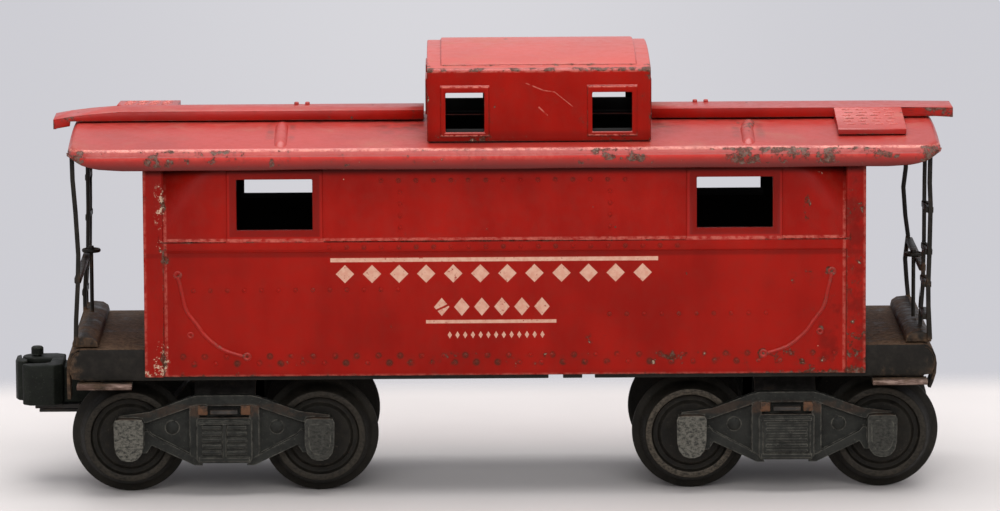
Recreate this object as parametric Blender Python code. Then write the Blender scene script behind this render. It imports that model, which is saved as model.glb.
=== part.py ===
"""Model caboose in stamped sheet steel for 31.75 mm gauge track, with two four-wheel trucks and one coupler.

X runs along the car, with the coupler at -X. Y runs across it and Z up. Z = 0 is the plane the wheels stand on.
All sizes below are in millimetres, measured from the middle of the body, and are turned into metres by MM.
"""

import math

import bpy
import bmesh

MM = 0.001

# Where the middle of the body stands, so that the origin is under the middle of the whole object's box.
# Heights are measured from a line CAR_Z under which the wheels reach.
CAR_X, CAR_Z = 4.55, 0.9

# Body shell
BODY_HALF_L, BODY_SIDE_Y, BODY_SHEET = 74.3, 26.1, 0.7
BODY_BOTTOM = 25.1
RAISED = 0.5
WINDOW_X = (39.7, 55.4)
WINDOW_Z = (55.8, 66.4)
BELT_Z = (50.9, 53.9)

# Roof
ROOF_HALF_L, EAVE_Y = 90.2, 29.0
EAVE_Z, CROWN_Z = 72.85, 75.6
FASCIA_Z, ROOF_SHEET = 68.7, 0.7
ROOF_CORNER = 5.0
RIB_X = (-46.2, 50.5)

# Cupola, which stands a little towards the end without the coupler
CUPOLA_X = (-15.9, 30.3)
CUPOLA_Y, CUPOLA_SHEET = 25.0, 0.7
CUPOLA_EAVE_Z, CUPOLA_CROWN_Z = 89.0, 91.6
CUPOLA_WINDOWS = ((-12.1, -4.1), (18.2, 26.4))
CUPOLA_WINDOW_Z = (75.8, 84.0)

# Walkway along the roof
WALK_HALF_L, WALK_HALF_W = 94.2, 5.35
WALK_TOP, WALK_SHEET = 77.9, 0.6
WALK_BOTTOM = 75.9

# Frame, which sits a little towards the coupler under the body
FRAME_X = -0.65
DECK_TOP, FRAME_SHEET = 30.8, 0.7
SKIRT_Y, SKIRT_BOTTOM = 25.1, 24.2
DECK_HALF_L, APRON_HALF_W = 87.6, 24.0

# Trucks
PIVOT_X = 58.55
AXLE_X, AXLE_Z = 19.85, 11.3
FLANGE_R, AXLE_R, BORE_R = 12.2, 1.55, 1.64
KING_R = 1.5
WHEEL_STEPS = 36

GAP = 0.3


def roof_z(y, top=CROWN_Z):
    """Height of the roof's outer skin above a line across the car."""
    return top - (CROWN_Z - EAVE_Z) * (y / EAVE_Y) ** 2


def clear_scene():
    for obj in list(bpy.data.objects):
        bpy.data.objects.remove(obj, do_unlink=True)


clear_scene()
model = bpy.data.collections.new("model_caboose")
bpy.context.scene.collection.children.link(model)
helpers = bpy.data.collections.new("helpers")
helpers.hide_render = True
bpy.context.scene.collection.children.link(helpers)


def material(name, colour, roughness, metallic):
    made = bpy.data.materials.new(name)
    made.use_nodes = True
    shader = made.node_tree.nodes["Principled BSDF"]
    shader.inputs["Base Color"].default_value = (*colour, 1.0)
    shader.inputs["Roughness"].default_value = roughness
    shader.inputs["Metallic"].default_value = metallic
    return made


red = material("red_enamel", (0.36, 0.016, 0.01), 0.42, 0.0)
black = material("black_enamel", (0.018, 0.016, 0.014), 0.5, 0.0)
diecast = material("blackened_diecast", (0.03, 0.033, 0.029), 0.55, 0.3)
steel = material("bare_steel", (0.35, 0.32, 0.29), 0.4, 1.0)
blued = material("blued_steel", (0.05, 0.045, 0.042), 0.5, 0.8)


def empty(name, place, parent=None):
    made = bpy.data.objects.new(name, None)
    made.location = [MM * value for value in place]
    made.parent = parent
    model.objects.link(made)
    return made


# Shapes. Each one is a list of points in millimetres and a list of faces.


def prism(outline, axis, low, high):
    """A closed outline pushed from low to high along an axis. Its pairs are (y, z), (x, z) or (x, y)."""
    order = {"x": lambda a, b, t: (t, a, b), "y": lambda a, b, t: (a, t, b), "z": lambda a, b, t: (a, b, t)}
    place = order[axis]
    count = len(outline)
    points = [place(a, b, low) for a, b in outline] + [place(a, b, high) for a, b in outline]
    faces = [tuple(range(count)), tuple(range(2 * count - 1, count - 1, -1))]
    for i in range(count):
        j = (i + 1) % count
        faces.append((i, j, count + j, count + i))
    return points, faces


def block(x, y, z):
    (x0, x1), (y0, y1), (z0, z1) = sorted(x), sorted(y), sorted(z)
    return prism([(x0, y0), (x1, y0), (x1, y1), (x0, y1)], "z", z0, z1)


def turned(profile, axis, centre, steps, ring=False):
    """A profile of (radius, height) pairs turned about an axis through centre. A ring's profile closes on itself."""
    points, rows = [], []
    for radius, height in profile:
        row = []
        for k in range(1 if radius == 0 else steps):
            a = 2 * math.pi * k / steps
            u, v = radius * math.cos(a), radius * math.sin(a)
            local = {"x": (height, u, v), "y": (u, height, v), "z": (u, v, height)}[axis]
            row.append(len(points))
            points.append(tuple(c + d for c, d in zip(centre, local)))
        rows.append(row)
    faces = []
    pairs = list(zip(rows, rows[1:] + rows[:1])) if ring else list(zip(rows, rows[1:]))
    for first, second in pairs:
        for k in range(steps):
            m = (k + 1) % steps
            corners = [first[k % len(first)], first[m % len(first)], second[m % len(second)], second[k % len(second)]]
            unique = list(dict.fromkeys(corners))
            if len(unique) > 2:
                faces.append(tuple(unique))
    return points, faces


def rod(axis, centre, radius, low, high, steps=16):
    return turned([(0, low), (radius, low), (radius, high), (0, high)], axis, centre, steps)


def strip(path, thick, low, high):
    """A strip of sheet that follows (x, z) points, thick along X, and runs from low to high across the car."""
    outline = [(x - thick / 2, z) for x, z in path] + [(x + thick / 2, z) for x, z in reversed(path)]
    return prism(outline, "y", low, high)


def mesh_of(name, shape, origin):
    points, faces = shape
    work = bmesh.new()
    made = [work.verts.new([MM * (p - o) for p, o in zip(point, origin)]) for point in points]
    for face in faces:
        work.faces.new([made[i] for i in face])
    bmesh.ops.recalc_face_normals(work, faces=work.faces)
    mesh = bpy.data.meshes.new(name)
    work.to_mesh(mesh)
    work.free()
    return mesh


def helper(name, shape, origin, parent, folder):
    obj = bpy.data.objects.new(name, mesh_of(name, shape, origin))
    obj.location = [MM * value for value in origin]
    obj.parent = parent
    obj.hide_render = True
    obj.display_type = "WIRE"
    folder.objects.link(obj)


def node(name, paint, parent, base, add=(), cut=(), keep=(), origin=(0, 0, 0)):
    """One piece: base with the shapes of add joined on, those of cut taken away and kept inside those of keep."""
    obj = bpy.data.objects.new(name, mesh_of(name, base, origin))
    obj.location = [MM * value for value in origin]
    obj.parent = parent
    obj.data.materials.append(paint)
    model.objects.link(obj)
    for what, shapes, operation in (("keep", keep, "INTERSECT"), ("add", add, "UNION"), ("cut", cut, "DIFFERENCE")):
        if not shapes:
            continue
        folder = bpy.data.collections.new(f"{name}_{what}")
        folder.hide_render = True
        helpers.children.link(folder)
        for i, shape in enumerate(shapes):
            helper(f"{name}_{what}_{i}", shape, origin, parent, folder)
        made = obj.modifiers.new(what, "BOOLEAN")
        made.operation = operation
        made.operand_type = "COLLECTION"
        made.collection = folder
        made.solver = "EXACT"
    return obj


def arch(half_width, top, foot, steps=10):
    """(y, z) outline of a block whose top follows the roof's curve."""
    curve = [half_width * (1 - 2 * i / steps) for i in range(steps + 1)]
    return [(-half_width, foot), (half_width, foot)] + [(y, roof_z(y, top)) for y in curve]


car = empty("car", (CAR_X, 0, CAR_Z))
frame_root = empty("frame_root", (FRAME_X, 0, 0), car)


def build_body():
    outer_top = CROWN_Z - ROOF_SHEET - GAP
    inner_y = BODY_SIDE_Y - BODY_SHEET
    inner_x = BODY_HALF_L - BODY_SHEET
    face = BODY_HALF_L + 0.4
    add, cut = [], []
    for side in (-1, 1):
        skin, lip = side * (BODY_SIDE_Y - 0.3), side * (BODY_SIDE_Y + RAISED)
        belt = [(side * 25.9, BELT_Z[0]), (side * 26.5, 51.3), (side * 26.75, 53.3), (side * 25.9, BELT_Z[1])]
        add.append(prism(belt, "x", -71.5, 71.5))
        for end in (-1, 1):
            add.append(block((end * 70.7, end * face), (skin, lip), (BODY_BOTTOM, 72.0)))
            add.append(block((end * 74.0, end * face), (side * 22.4, lip), (BODY_BOTTOM, 71.4)))
            add.append(block((end * 37.6, end * 57.4), (skin, lip), (53.2, 68.4)))
            add.append(block((end * 74.0, end * face), (side * 9.6, side * 20.9), (48.6, 62.6)))
    for end in (-1, 1):
        add.append(block((end * 74.0, end * face), (-6.8, 6.8), (BODY_BOTTOM, 66.0)))
        cut.append(block((end * WINDOW_X[0], end * WINDOW_X[1]), (-30, 30), WINDOW_Z))
        cut.append(block((end * 72.5, end * 76), (-inner_y, inner_y), (20, DECK_TOP + GAP)))
        cut.append(block((end * 72.5, end * 76), (-3.8, 3.8), (50.6, 62.4)))
        for side in (-1, 1):
            cut.append(block((end * 72.5, end * 76), (side * 11.2, side * 19.3), (50.2, 61.0)))
    cut.append(block((-inner_x, inner_x), (-inner_y, inner_y), (20, 90)))
    node("body_shell", red, car, prism(arch(BODY_SIDE_Y, outer_top, BODY_BOTTOM), "x", -BODY_HALF_L, BODY_HALF_L),
         add, cut)


def rounded_plan(half_l, half_w, radius, steps=5):
    corners = []
    for cx, cy, start in ((half_l, half_w, 0), (-half_l, half_w, 90), (-half_l, -half_w, 180), (half_l, -half_w, 270)):
        for i in range(steps + 1):
            a = math.radians(start + 90 * i / steps)
            x = cx - math.copysign(radius, cx) + radius * math.cos(a)
            y = cy - math.copysign(radius, cy) + radius * math.sin(a)
            corners.append((x, y))
    return corners


def build_roof():
    below = [(-95, 50), (95, 50), (95, 71.5), (90.2, 71.3), (87.0, 70.6), (82.5, 69.5), (78.0, 68.95),
             (73.0, FASCIA_Z), (-73.0, FASCIA_Z), (-78.0, 68.95), (-82.5, 69.5), (-87.0, 70.6), (-90.2, 71.3),
             (-95, 71.5)]
    inner_l, inner_w = ROOF_HALF_L - ROOF_SHEET, EAVE_Y - ROOF_SHEET
    hollow_top = [(y, z) for y, z in arch(inner_w, CROWN_Z - ROOF_SHEET, 50)]
    add = []
    for x in RIB_X:
        for side in (-1, 1):
            ys = (7.2, 8.2, 13.0, 19.0, 25.6, 26.6)
            rise = (0.05, 0.5, 0.5, 0.5, 0.5, 0.05)
            lower = [(side * y, roof_z(y) - 0.35) for y in ys]
            upper = [(side * y, roof_z(y) + r) for y, r in zip(ys, rise)]
            add.append(prism(lower + upper[::-1], "x", x - 1.3, x + 1.3))
    cut = [
        prism(hollow_top, "x", -inner_l, inner_l),
        prism(below, "y", -40, 40),
        block((CUPOLA_X[0] + 2.6, CUPOLA_X[1] - 2.6), (-22.0, 22.0), (60, 90)),
    ]
    node("roof", red, car, prism(arch(EAVE_Y, CROWN_Z, 60), "x", -ROOF_HALF_L, ROOF_HALF_L), add, cut,
         keep=[prism(rounded_plan(ROOF_HALF_L, EAVE_Y, ROOF_CORNER), "z", 55, 80)])


def build_cupola():
    x0, x1 = CUPOLA_X
    across = [1 - 2 * i / 8 for i in range(9)]
    top = [(25.0, 60.0), (25.0, 88.6)]
    top += [(24.6 * t, CUPOLA_EAVE_Z + 1.7 * (1 - t * t)) for t in across]
    top += [(-25.0, 88.6), (-25.0, 60.0)]
    panel = [(22.4, 88.8)] + [(22.4 * t, CUPOLA_CROWN_Z - 2.05 * t * t) for t in across] + [(-22.4, 88.8)]
    inner_y, inner_top = CUPOLA_Y - CUPOLA_SHEET, CUPOLA_EAVE_Z - CUPOLA_SHEET - 0.1
    hollow = [(-inner_y, 55), (inner_y, 55), (inner_y, inner_top), (12.0, 89.5), (-12.0, 89.5),
              (-inner_y, inner_top)]
    under = arch(27.0, CROWN_Z + GAP, 50)
    add = [prism(panel, "x", x0 + 2.9, x1 - 2.9)]
    cut = [prism(hollow, "x", x0 + CUPOLA_SHEET, x1 - CUPOLA_SHEET), prism(under, "x", x0 - 5, x1 + 5)]
    for low, high in CUPOLA_WINDOWS:
        cut.append(block((low, high), (-30, 30), CUPOLA_WINDOW_Z))
        for side in (-1, 1):
            add.append(block((low - 1.0, high + 1.0), (side * 24.7, side * 25.35), (74.9, 85.4)))
    for end, x in ((-1, x0), (1, x1)):
        for side in (-1, 1):
            add.append(block((x - end * 0.3, x + end * 0.35), (side * 6.6, side * 17.4), (78.6, 86.0)))
            cut.append(block((x - end * 1.5, x + end * 1.5), (side * 7.8, side * 16.2), (79.6, 85.0)))
    node("cupola", red, car, prism(top, "x", x0, x1), add, cut)


def channel(x_line, ends):
    """Shapes of the walkway: a deck and two flanges that follow (x, top, foot) points, and a flange at each given end."""
    plate = [(x, top) for x, top, foot in x_line] + [(x, top - WALK_SHEET) for x, top, foot in reversed(x_line)]
    side = [(x, top - 0.1) for x, top, foot in x_line] + [(x, foot) for x, top, foot in reversed(x_line)]
    shapes = [prism(plate, "y", -WALK_HALF_W, WALK_HALF_W)]
    shapes += [prism(side, "y", s * WALK_HALF_W, s * (WALK_HALF_W - WALK_SHEET)) for s in (-1, 1)]
    for x, inward, z in ends:
        shapes.append(block((x, x + inward * WALK_SHEET), (-WALK_HALF_W, WALK_HALF_W), (z - 2.0, z - 0.1)))
    return shapes


def side_platform(x0, x1, side, drop):
    """Shapes of the platform that runs out to one eave, with its edges turned down."""
    top_out, reach = WALK_TOP - drop, 21.5
    rest = roof_z(reach) + GAP
    plate = [(side * 5.0, WALK_TOP), (side * (reach - 0.6), top_out), (side * reach, top_out - 0.3),
             (side * reach, rest), (side * (reach - 0.6), rest), (side * (reach - 0.6), top_out - 0.6),
             (side * 5.0, WALK_TOP - WALK_SHEET)]
    foot = [(side * y, max(roof_z(y) + GAP, WALK_TOP - 2.0 - drop * (y - 5) / 16)) for y in (5.0, 13.0, reach)]
    edge = [(side * 5.0, WALK_TOP - 0.1), (side * reach, top_out - 0.35)] + foot[::-1]
    shapes = [prism(plate, "x", x0, x1)]
    shapes += [prism(edge, "x", x0, x0 + WALK_SHEET), prism(edge, "x", x1 - WALK_SHEET, x1)]
    return shapes


def build_walks():
    left = [(-WALK_HALF_L, 76.3, 74.3), (-90.75, 76.9, 74.9), (-90.6, 76.92, WALK_BOTTOM), (-86.5, 77.4, WALK_BOTTOM),
            (-80.0, WALK_TOP, WALK_BOTTOM), (CUPOLA_X[0] - 0.75, WALK_TOP, WALK_BOTTOM)]
    right = [(CUPOLA_X[1] + 0.75, WALK_TOP, WALK_BOTTOM), (80.0, WALK_TOP, WALK_BOTTOM),
             (90.6, WALK_TOP - 0.15, WALK_BOTTOM), (WALK_HALF_L, WALK_TOP - 0.2, WALK_TOP - 2.2)]
    shapes = channel(left, [(-WALK_HALF_L, 1, 76.3)]) + side_platform(-81.4, -68.6, 1, 1.1)
    node("roofwalk_left", red, car, shapes[0], shapes[1:])
    shapes = channel(right, [(WALK_HALF_L, -1, WALK_TOP - 0.2)]) + side_platform(69.2, 83.3, -1, 2.2)
    node("roofwalk_right", red, car, shapes[0], shapes[1:])


def build_frame():
    add, cut = [], []
    for side in (-1, 1):
        add.append(block((-DECK_HALF_L, DECK_HALF_L), (side * SKIRT_Y, side * (SKIRT_Y - FRAME_SHEET)),
                         (SKIRT_BOTTOM, DECK_TOP - 0.2)))
        cut.append(block((9.6, 12.6), (side * 23, side * 27), (20, 25.6)))
        cut.append(block((16.6, 19.2), (side * 23, side * 27), (20, 25.6)))
    # The apron at the coupler end hangs straight, and the other one is bent under.
    outside = [(87.0, 30.8), (88.4, 30.55), (89.5, 29.7), (90.1, 28.2), (90.35, 26.6), (90.2, 24.6), (89.7, 22.9),
               (89.1, 21.4)]
    inside = [(88.45, 21.6), (89.05, 23.1), (89.5, 24.7), (89.65, 26.6), (89.45, 27.9), (88.9, 29.2), (88.2, 29.8),
              (87.0, 30.1)]
    cheek = [(86.0, 24.2), (89.3, 24.6), (89.65, 26.6), (89.4, 28.1), (88.7, 29.4), (87.4, 30.5), (86.0, 30.6)]
    straight = [(87.0, 30.8), (88.4, 30.6), (89.6, 29.9), (90.25, 28.5), (90.4, 26.6), (90.4, 23.0), (90.3, 20.2),
                (89.6, 20.2), (89.7, 23.0), (89.7, 26.6), (89.45, 28.0), (88.9, 29.3), (88.2, 29.9), (87.0, 30.1)]
    for end in (-1, 1):
        outline = [(end * x, z) for x, z in (straight if end < 0 else outside + inside)]
        add.append(prism(outline, "y", -APRON_HALF_W, APRON_HALF_W))
        for side in (-1, 1):
            add.append(prism([(end * x, z) for x, z in cheek], "y", side * (SKIRT_Y - FRAME_SHEET), side * SKIRT_Y))
        cut.append(block((end * 86, end * 93), (-17.5, 17.5), (15, 26.4)))
    node("frame", black, frame_root,
         block((-DECK_HALF_L, DECK_HALF_L), (-SKIRT_Y, SKIRT_Y), (DECK_TOP - FRAME_SHEET, DECK_TOP)), add, cut)


def build_steps():
    for end, where in ((-1, "left"), (1, "right")):
        for side, which in ((-1, "near"), (1, "far")):
            tread = [(side * 24.0, 22.7), (side * 27.6, 22.7), (side * 28.0, 23.1), (side * 28.0, 23.5),
                     (side * 27.6, 23.8), (side * 24.0, 23.8)]
            hangers = []
            for x in (77.4, 86.8):
                hangers.append(block((end * x, end * (x + 0.8)), (side * 24.0, side * 23.2), (22.7, 29.8)))
            hangers.append(block((end * 76.8, end * 88.2), (side * 24.1, side * 23.2), (22.7, 23.8)))
            node(f"step_{where}_{which}", black, frame_root, prism(tread, "x", end * 76.8, end * 88.2), hangers)


def lip(end):
    outline = [(89.2, 31.1), (89.2, 32.0), (88.5, 32.8), (87.2, 33.2), (85.2, 33.0), (84.1, 32.3), (83.8, 31.1)]
    return prism([(end * x, z) for x, z in outline], "y", -23.6, 23.6)


def x_at(path, z):
    """Where an (x, z) path that runs down is at that height."""
    for (x0, z0), (x1, z1) in zip(path, path[1:]):
        if z0 >= z >= z1:
            return x0 + (x1 - x0) * (z0 - z) / (z0 - z1)


def build_railings():
    """End railings: a rolled foot, a post and a ladder up to the roof, and a rail between them. Both are bent a little."""
    left = {
        "post": [(-89.35, 71.0), (-89.25, 66.2), (-88.75, 59.5), (-88.3, 50.5), (-88.5, 44.3), (-88.95, 36.9),
                 (-89.1, 31.6)],
        "outer": [(-88.3, 71.0), (-88.4, 55.0), (-88.6, 45.2), (-89.1, 42.6), (-89.5, 36.5), (-89.5, 31.6)],
        "inner": [(-88.3, 71.0), (-88.3, 55.0), (-88.5, 45.2), (-88.9, 42.6), (-89.3, 36.5), (-89.3, 31.6)],
    }
    right = {
        "post": [(86.7, 71.0), (86.45, 60.8), (85.95, 56.7), (86.4, 50.6), (87.0, 46.2), (86.4, 41.2), (86.7, 36.9),
                 (87.2, 31.6)],
        "outer": [(88.1, 71.0), (88.0, 64.5), (88.2, 59.9), (88.05, 51.5), (87.8, 43.0), (87.9, 35.7), (88.1, 31.6)],
        "inner": [(87.7, 71.0), (87.6, 63.8), (87.55, 51.0), (87.35, 41.6), (86.95, 36.0), (86.8, 31.6)],
    }
    for name, bends, side, end in (("railing_left", left, -1, -1), ("railing_right", right, 1, 1)):
        # Bends are measured from the body, and the railing hangs on the frame.
        local = {key: [(x - FRAME_X, z) for x, z in path] for key, path in bends.items()}
        add = [
            strip(local["post"], 0.9, side * 23.1, side * 24.6),
            strip(local["outer"], 0.9, -side * 23.1, -side * 24.6),
            strip(local["inner"], 0.8, -side * 14.0, -side * 15.4),
        ]
        for z in (36.4, 44.0, 52.6, 61.2) if end < 0 else (36.4, 43.2, 50.0, 58.8):
            ends = sorted((x_at(local["outer"], z), x_at(local["inner"], z)))
            if end < 0:
                span = (ends[0] - 0.37, ends[1] + 0.37)
            else:
                span = (sum(ends) / 2 - 0.85, sum(ends) / 2 + 0.85)
            add.append(block(span, (-side * 14.3, -side * 24.0), (z - 0.55, z + 0.55)))
        middle = (local["post"][4][0] + local["inner"][2][0]) / 2
        add.append(block((middle - 0.7, middle + 0.7), (side * 24.0, -side * 14.5), (44.6, 45.8)))
        node(name, black, frame_root, lip(end), add)
    for name, x, y in (("brake_wheel_left", -87.3, 6.2), ("brake_wheel_right", 86.0, -6.2)):
        centre = (x - FRAME_X, y, 0)
        hub = [(0, 33.6), (0.45, 33.6), (0.45, 46.3), (2.05, 46.4), (2.05, 47.3), (0.7, 47.3), (0.7, 47.9), (0, 47.9)]
        node(name, black, frame_root, turned(hub, "z", centre, 14), origin=centre)


def sideframe_shapes(side, centre):
    """A cast sideframe: an outline with two triangular openings, journal boxes and a spring block."""
    inner, web, box, pad = side * 20.5, side * 22.3, side * 24.5, side * 23.6
    half = [(0, 20.5), (5.6, 20.5), (7.6, 20.0), (15.6, 17.1), (22.4, 16.2), (22.9, 15.6), (22.9, 7.8), (22.2, 7.0),
            (16.8, 7.0), (15.8, 8.2), (15.2, 10.2), (6.2, 5.7), (0, 5.7)]
    outline = [(centre + x, z) for x, z in half] + [(centre - x, z) for x, z in half[-2:0:-1]]
    add = [block((centre - 5.4, centre + 5.4), (side * 22.0, pad), (6.3, 15.3))]
    cut = [block((centre - 3.1, centre + 3.1), (side * 19, side * 26), (16.5, 17.9))]
    for end in (-1, 1):
        x = centre + end * AXLE_X
        add.append(block((x - 3.1, x + 3.1), (side * 22.0, box), (7.0, 15.9)))
        hole = [(6.9, 17.6), (15.0, 14.9), (15.0, 12.5), (6.9, 8.4)]
        cut.append(prism([(centre + end * u, z) for u, z in hole], "y", side * 19, side * 26))
        cut.append(rod("y", (x, 0, AXLE_Z), BORE_R, side * 19.5, side * 22.9, 24))
    return prism(outline, "y", inner, web), add, cut


def wheel_profile(side):
    half = [(BORE_R, 14.2), (11.3, 14.2), (FLANGE_R, 14.6), (FLANGE_R, 15.2), (10.9, 15.9), (10.45, 16.6),
            (9.6, 18.9), (9.2, 19.4), (8.1, 19.4), (7.9, 18.7), (6.6, 18.7), (6.4, 19.2), (BORE_R, 19.2)]
    return [(r, side * y) for r, y in half]


def build_truck(end, where):
    pivot = end * PIVOT_X
    truck = empty(f"truck_{where}", (pivot, 0, 0), car)
    hat = [(-15.5, 29.8), (-15.5, 29.0), (-9.4, 29.0), (-9.4, 23.4), (9.4, 23.4), (9.4, 29.0), (15.5, 29.0),
           (15.5, 29.8), (8.6, 29.8), (8.6, 24.2), (-8.6, 24.2), (-8.6, 29.8)]
    hole = rod("z", (pivot, 0, 0), KING_R + 0.09, 10, 40, 24)
    node(f"bracket_{where}", black, car, prism(hat, "x", pivot - 7, pivot + 7), cut=[hole])
    pin = [(0, 19.2), (KING_R, 19.2), (KING_R, 24.5), (3.2, 24.5), (3.2, 25.1), (2.2, 25.8), (0, 25.8)]
    node(f"king_pin_{where}", steel, car, turned(pin, "z", (pivot, 0, 0), 24))
    ring = [(KING_R + 0.09, 19.5), (3.0, 19.5), (3.0, 20.0), (KING_R + 0.09, 20.0)]
    node(f"king_clip_{where}", steel, car, turned(ring, "z", (pivot, 0, 0), 24, ring=True))

    arm = [(20.2, 16.8), (20.2, 17.6), (18.0, 17.6), (13.6, 22.3)]
    low = [(13.2, 21.4), (17.6, 16.8)]
    outline = arm + [(-y, z) for y, z in arm[::-1]] + [(-y, z) for y, z in low[::-1]] + low
    tabs = [block((-2.8, 2.8), (s * 20.0, s * 23.9), (16.8, 17.6)) for s in (-1, 1)]
    hole = rod("z", (0, 0, 0), KING_R + 0.09, 10, 40, 24)
    node(f"bolster_{where}", blued, truck, prism(outline, "x", -6.4, 6.4), tabs, [hole])
    for side, which in ((-1, "near"), (1, "far")):
        base, add, cut = sideframe_shapes(side, 0)
        node(f"sideframe_{where}_{which}", diecast, truck, base, add, cut)
    for sign, place in ((-1, "outer" if end < 0 else "inner"), (1, "inner" if end < 0 else "outer")):
        centre = (sign * AXLE_X, 0, AXLE_Z)
        shaft = [(0, -22.6), (AXLE_R, -22.6), (AXLE_R, -13.9), (2.1, -13.9), (2.1, 13.9), (AXLE_R, 13.9),
                 (AXLE_R, 22.6), (0, 22.6)]
        node(f"axle_{where}_{place}", steel, truck, turned(shaft, "y", centre, 24), origin=centre)
        for side, which in ((-1, "near"), (1, "far")):
            shape = turned(wheel_profile(side), "y", centre, WHEEL_STEPS, ring=True)
            node(f"wheel_{where}_{place}_{which}", diecast, truck, shape, origin=centre)
    return truck


def build_coupler(truck):
    """The coupler rides on the left truck. Lengths along X are measured from that truck's pivot."""
    pin = (-40.4, 4.6)
    bar = [(6.0, 21.1), (-7.5, 21.1), (-12.0, 15.7), (-40.4, 15.7), (-40.4, 14.9), (-12.4, 14.9), (-7.9, 20.3),
           (6.0, 20.3)]
    hole = rod("z", (0, 0, 0), KING_R + 0.09, 10, 40, 24)
    node("coupler_drawbar", blued, truck, prism(bar, "y", -5.0, 5.0), cut=[hole])

    body = [(-34.4, -6.2), (-34.4, 6.6), (-36.4, 7.8), (-37.1, 7.8), (-37.1, 1.2), (-37.3, -3.5), (-38.4, -4.7),
            (-42.8, -5.4), (-42.9, -6.8), (-41.4, -8.2), (-36.2, -8.2)]
    add = []
    for z0, z1 in ((16.0, 17.2), (23.4, 24.6)):
        add.append(rod("z", (pin[0], pin[1], 0), 3.1, z0, z1, 24))
        add.append(block((pin[0], -36.5), (1.6, 7.7), (z0, z1)))
    add.append(block((-34.8, -26.6), (-4.4, 4.4), (16.0, 23.6)))
    holes = [rod("z", (pin[0], pin[1], 0), 0.9, 10, 30, 20)]
    node("coupler_head", diecast, truck, prism(body, "z", 16.0, 24.6), add, holes)

    hub = rod("z", (pin[0], pin[1], 0), 2.8, 17.5, 23.1, 24)
    web = [(-40.4, 7.3), (-43.2, 7.3), (-44.5, 5.4), (-44.5, 1.2), (-42.6, 1.0), (-40.4, 1.9)]
    nose = [(-43.9, 7.0), (-44.75, 5.3), (-44.75, 0.2), (-44.2, -1.7), (-43.2, -2.4), (-42.2, -1.8), (-42.25, 0.8),
            (-43.75, 3.2), (-43.75, 5.6)]
    node("coupler_knuckle", diecast, truck, hub, [prism(web, "z", 17.5, 23.1), prism(nose, "z", 16.1, 24.5)],
         [rod("z", (pin[0], pin[1], 0), 0.92, 10, 30, 20)], origin=(pin[0], pin[1], 0))
    stem = [(0, 15.9), (0.82, 15.9), (0.82, 24.9), (1.3, 24.9), (1.3, 26.3), (1.0, 26.6), (0, 26.6)]
    node("coupler_pin", steel, truck, turned(stem, "z", (pin[0], pin[1], 0), 16))

    flap = [(-39.6, 14.6), (-24.2, 14.6), (-24.2, 14.0), (-39.6, 14.0)]
    origin = (-39.2, 0, 14.3)
    node("coupler_flap", blued, truck, prism(flap, "y", -4.2, 4.2),
         cut=[rod("z", (-27.2, 0, 0), 0.95, 10, 20, 20)], origin=origin)
    tack = [(0, 12.9), (2.2, 12.9), (2.6, 13.3), (2.6, 13.7), (0.8, 13.7), (0.8, 14.7), (0, 14.7)]
    node("coupler_button", steel, truck, turned(tack, "z", (-27.2, 0, 0), 16), origin=origin)


build_body()
build_roof()
build_cupola()
build_walks()
build_frame()
build_steps()
build_railings()
left_truck = build_truck(-1, "left")
build_truck(1, "right")
build_coupler(left_truck)
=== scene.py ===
import functools
import math

import bmesh
import bpy
import numpy as np
from mathutils import Matrix, Vector


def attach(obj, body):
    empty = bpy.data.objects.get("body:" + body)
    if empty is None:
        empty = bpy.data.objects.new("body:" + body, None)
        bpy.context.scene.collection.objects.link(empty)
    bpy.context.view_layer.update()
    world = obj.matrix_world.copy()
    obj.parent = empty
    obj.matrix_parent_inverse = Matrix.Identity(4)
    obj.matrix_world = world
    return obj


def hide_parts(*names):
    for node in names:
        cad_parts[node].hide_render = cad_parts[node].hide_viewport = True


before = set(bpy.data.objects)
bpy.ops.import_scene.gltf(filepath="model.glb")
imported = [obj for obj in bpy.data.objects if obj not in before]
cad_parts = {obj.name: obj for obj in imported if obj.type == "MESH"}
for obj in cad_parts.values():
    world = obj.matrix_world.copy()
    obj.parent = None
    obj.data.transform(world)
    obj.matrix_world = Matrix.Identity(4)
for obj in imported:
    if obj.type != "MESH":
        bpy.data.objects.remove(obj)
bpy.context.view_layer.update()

# Lengths below are millimetres. Shapes and paint are measured from a point under the middle of the body, which stands
# CX along the car and CZ up in the row frame.
MM = 0.001
CX, CZ = 4.55, 0.9
FRAME_X = -0.65  # the middle of the frame
ROOF_HALF_WIDTH = 29.0


# ---- shader helpers


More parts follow.
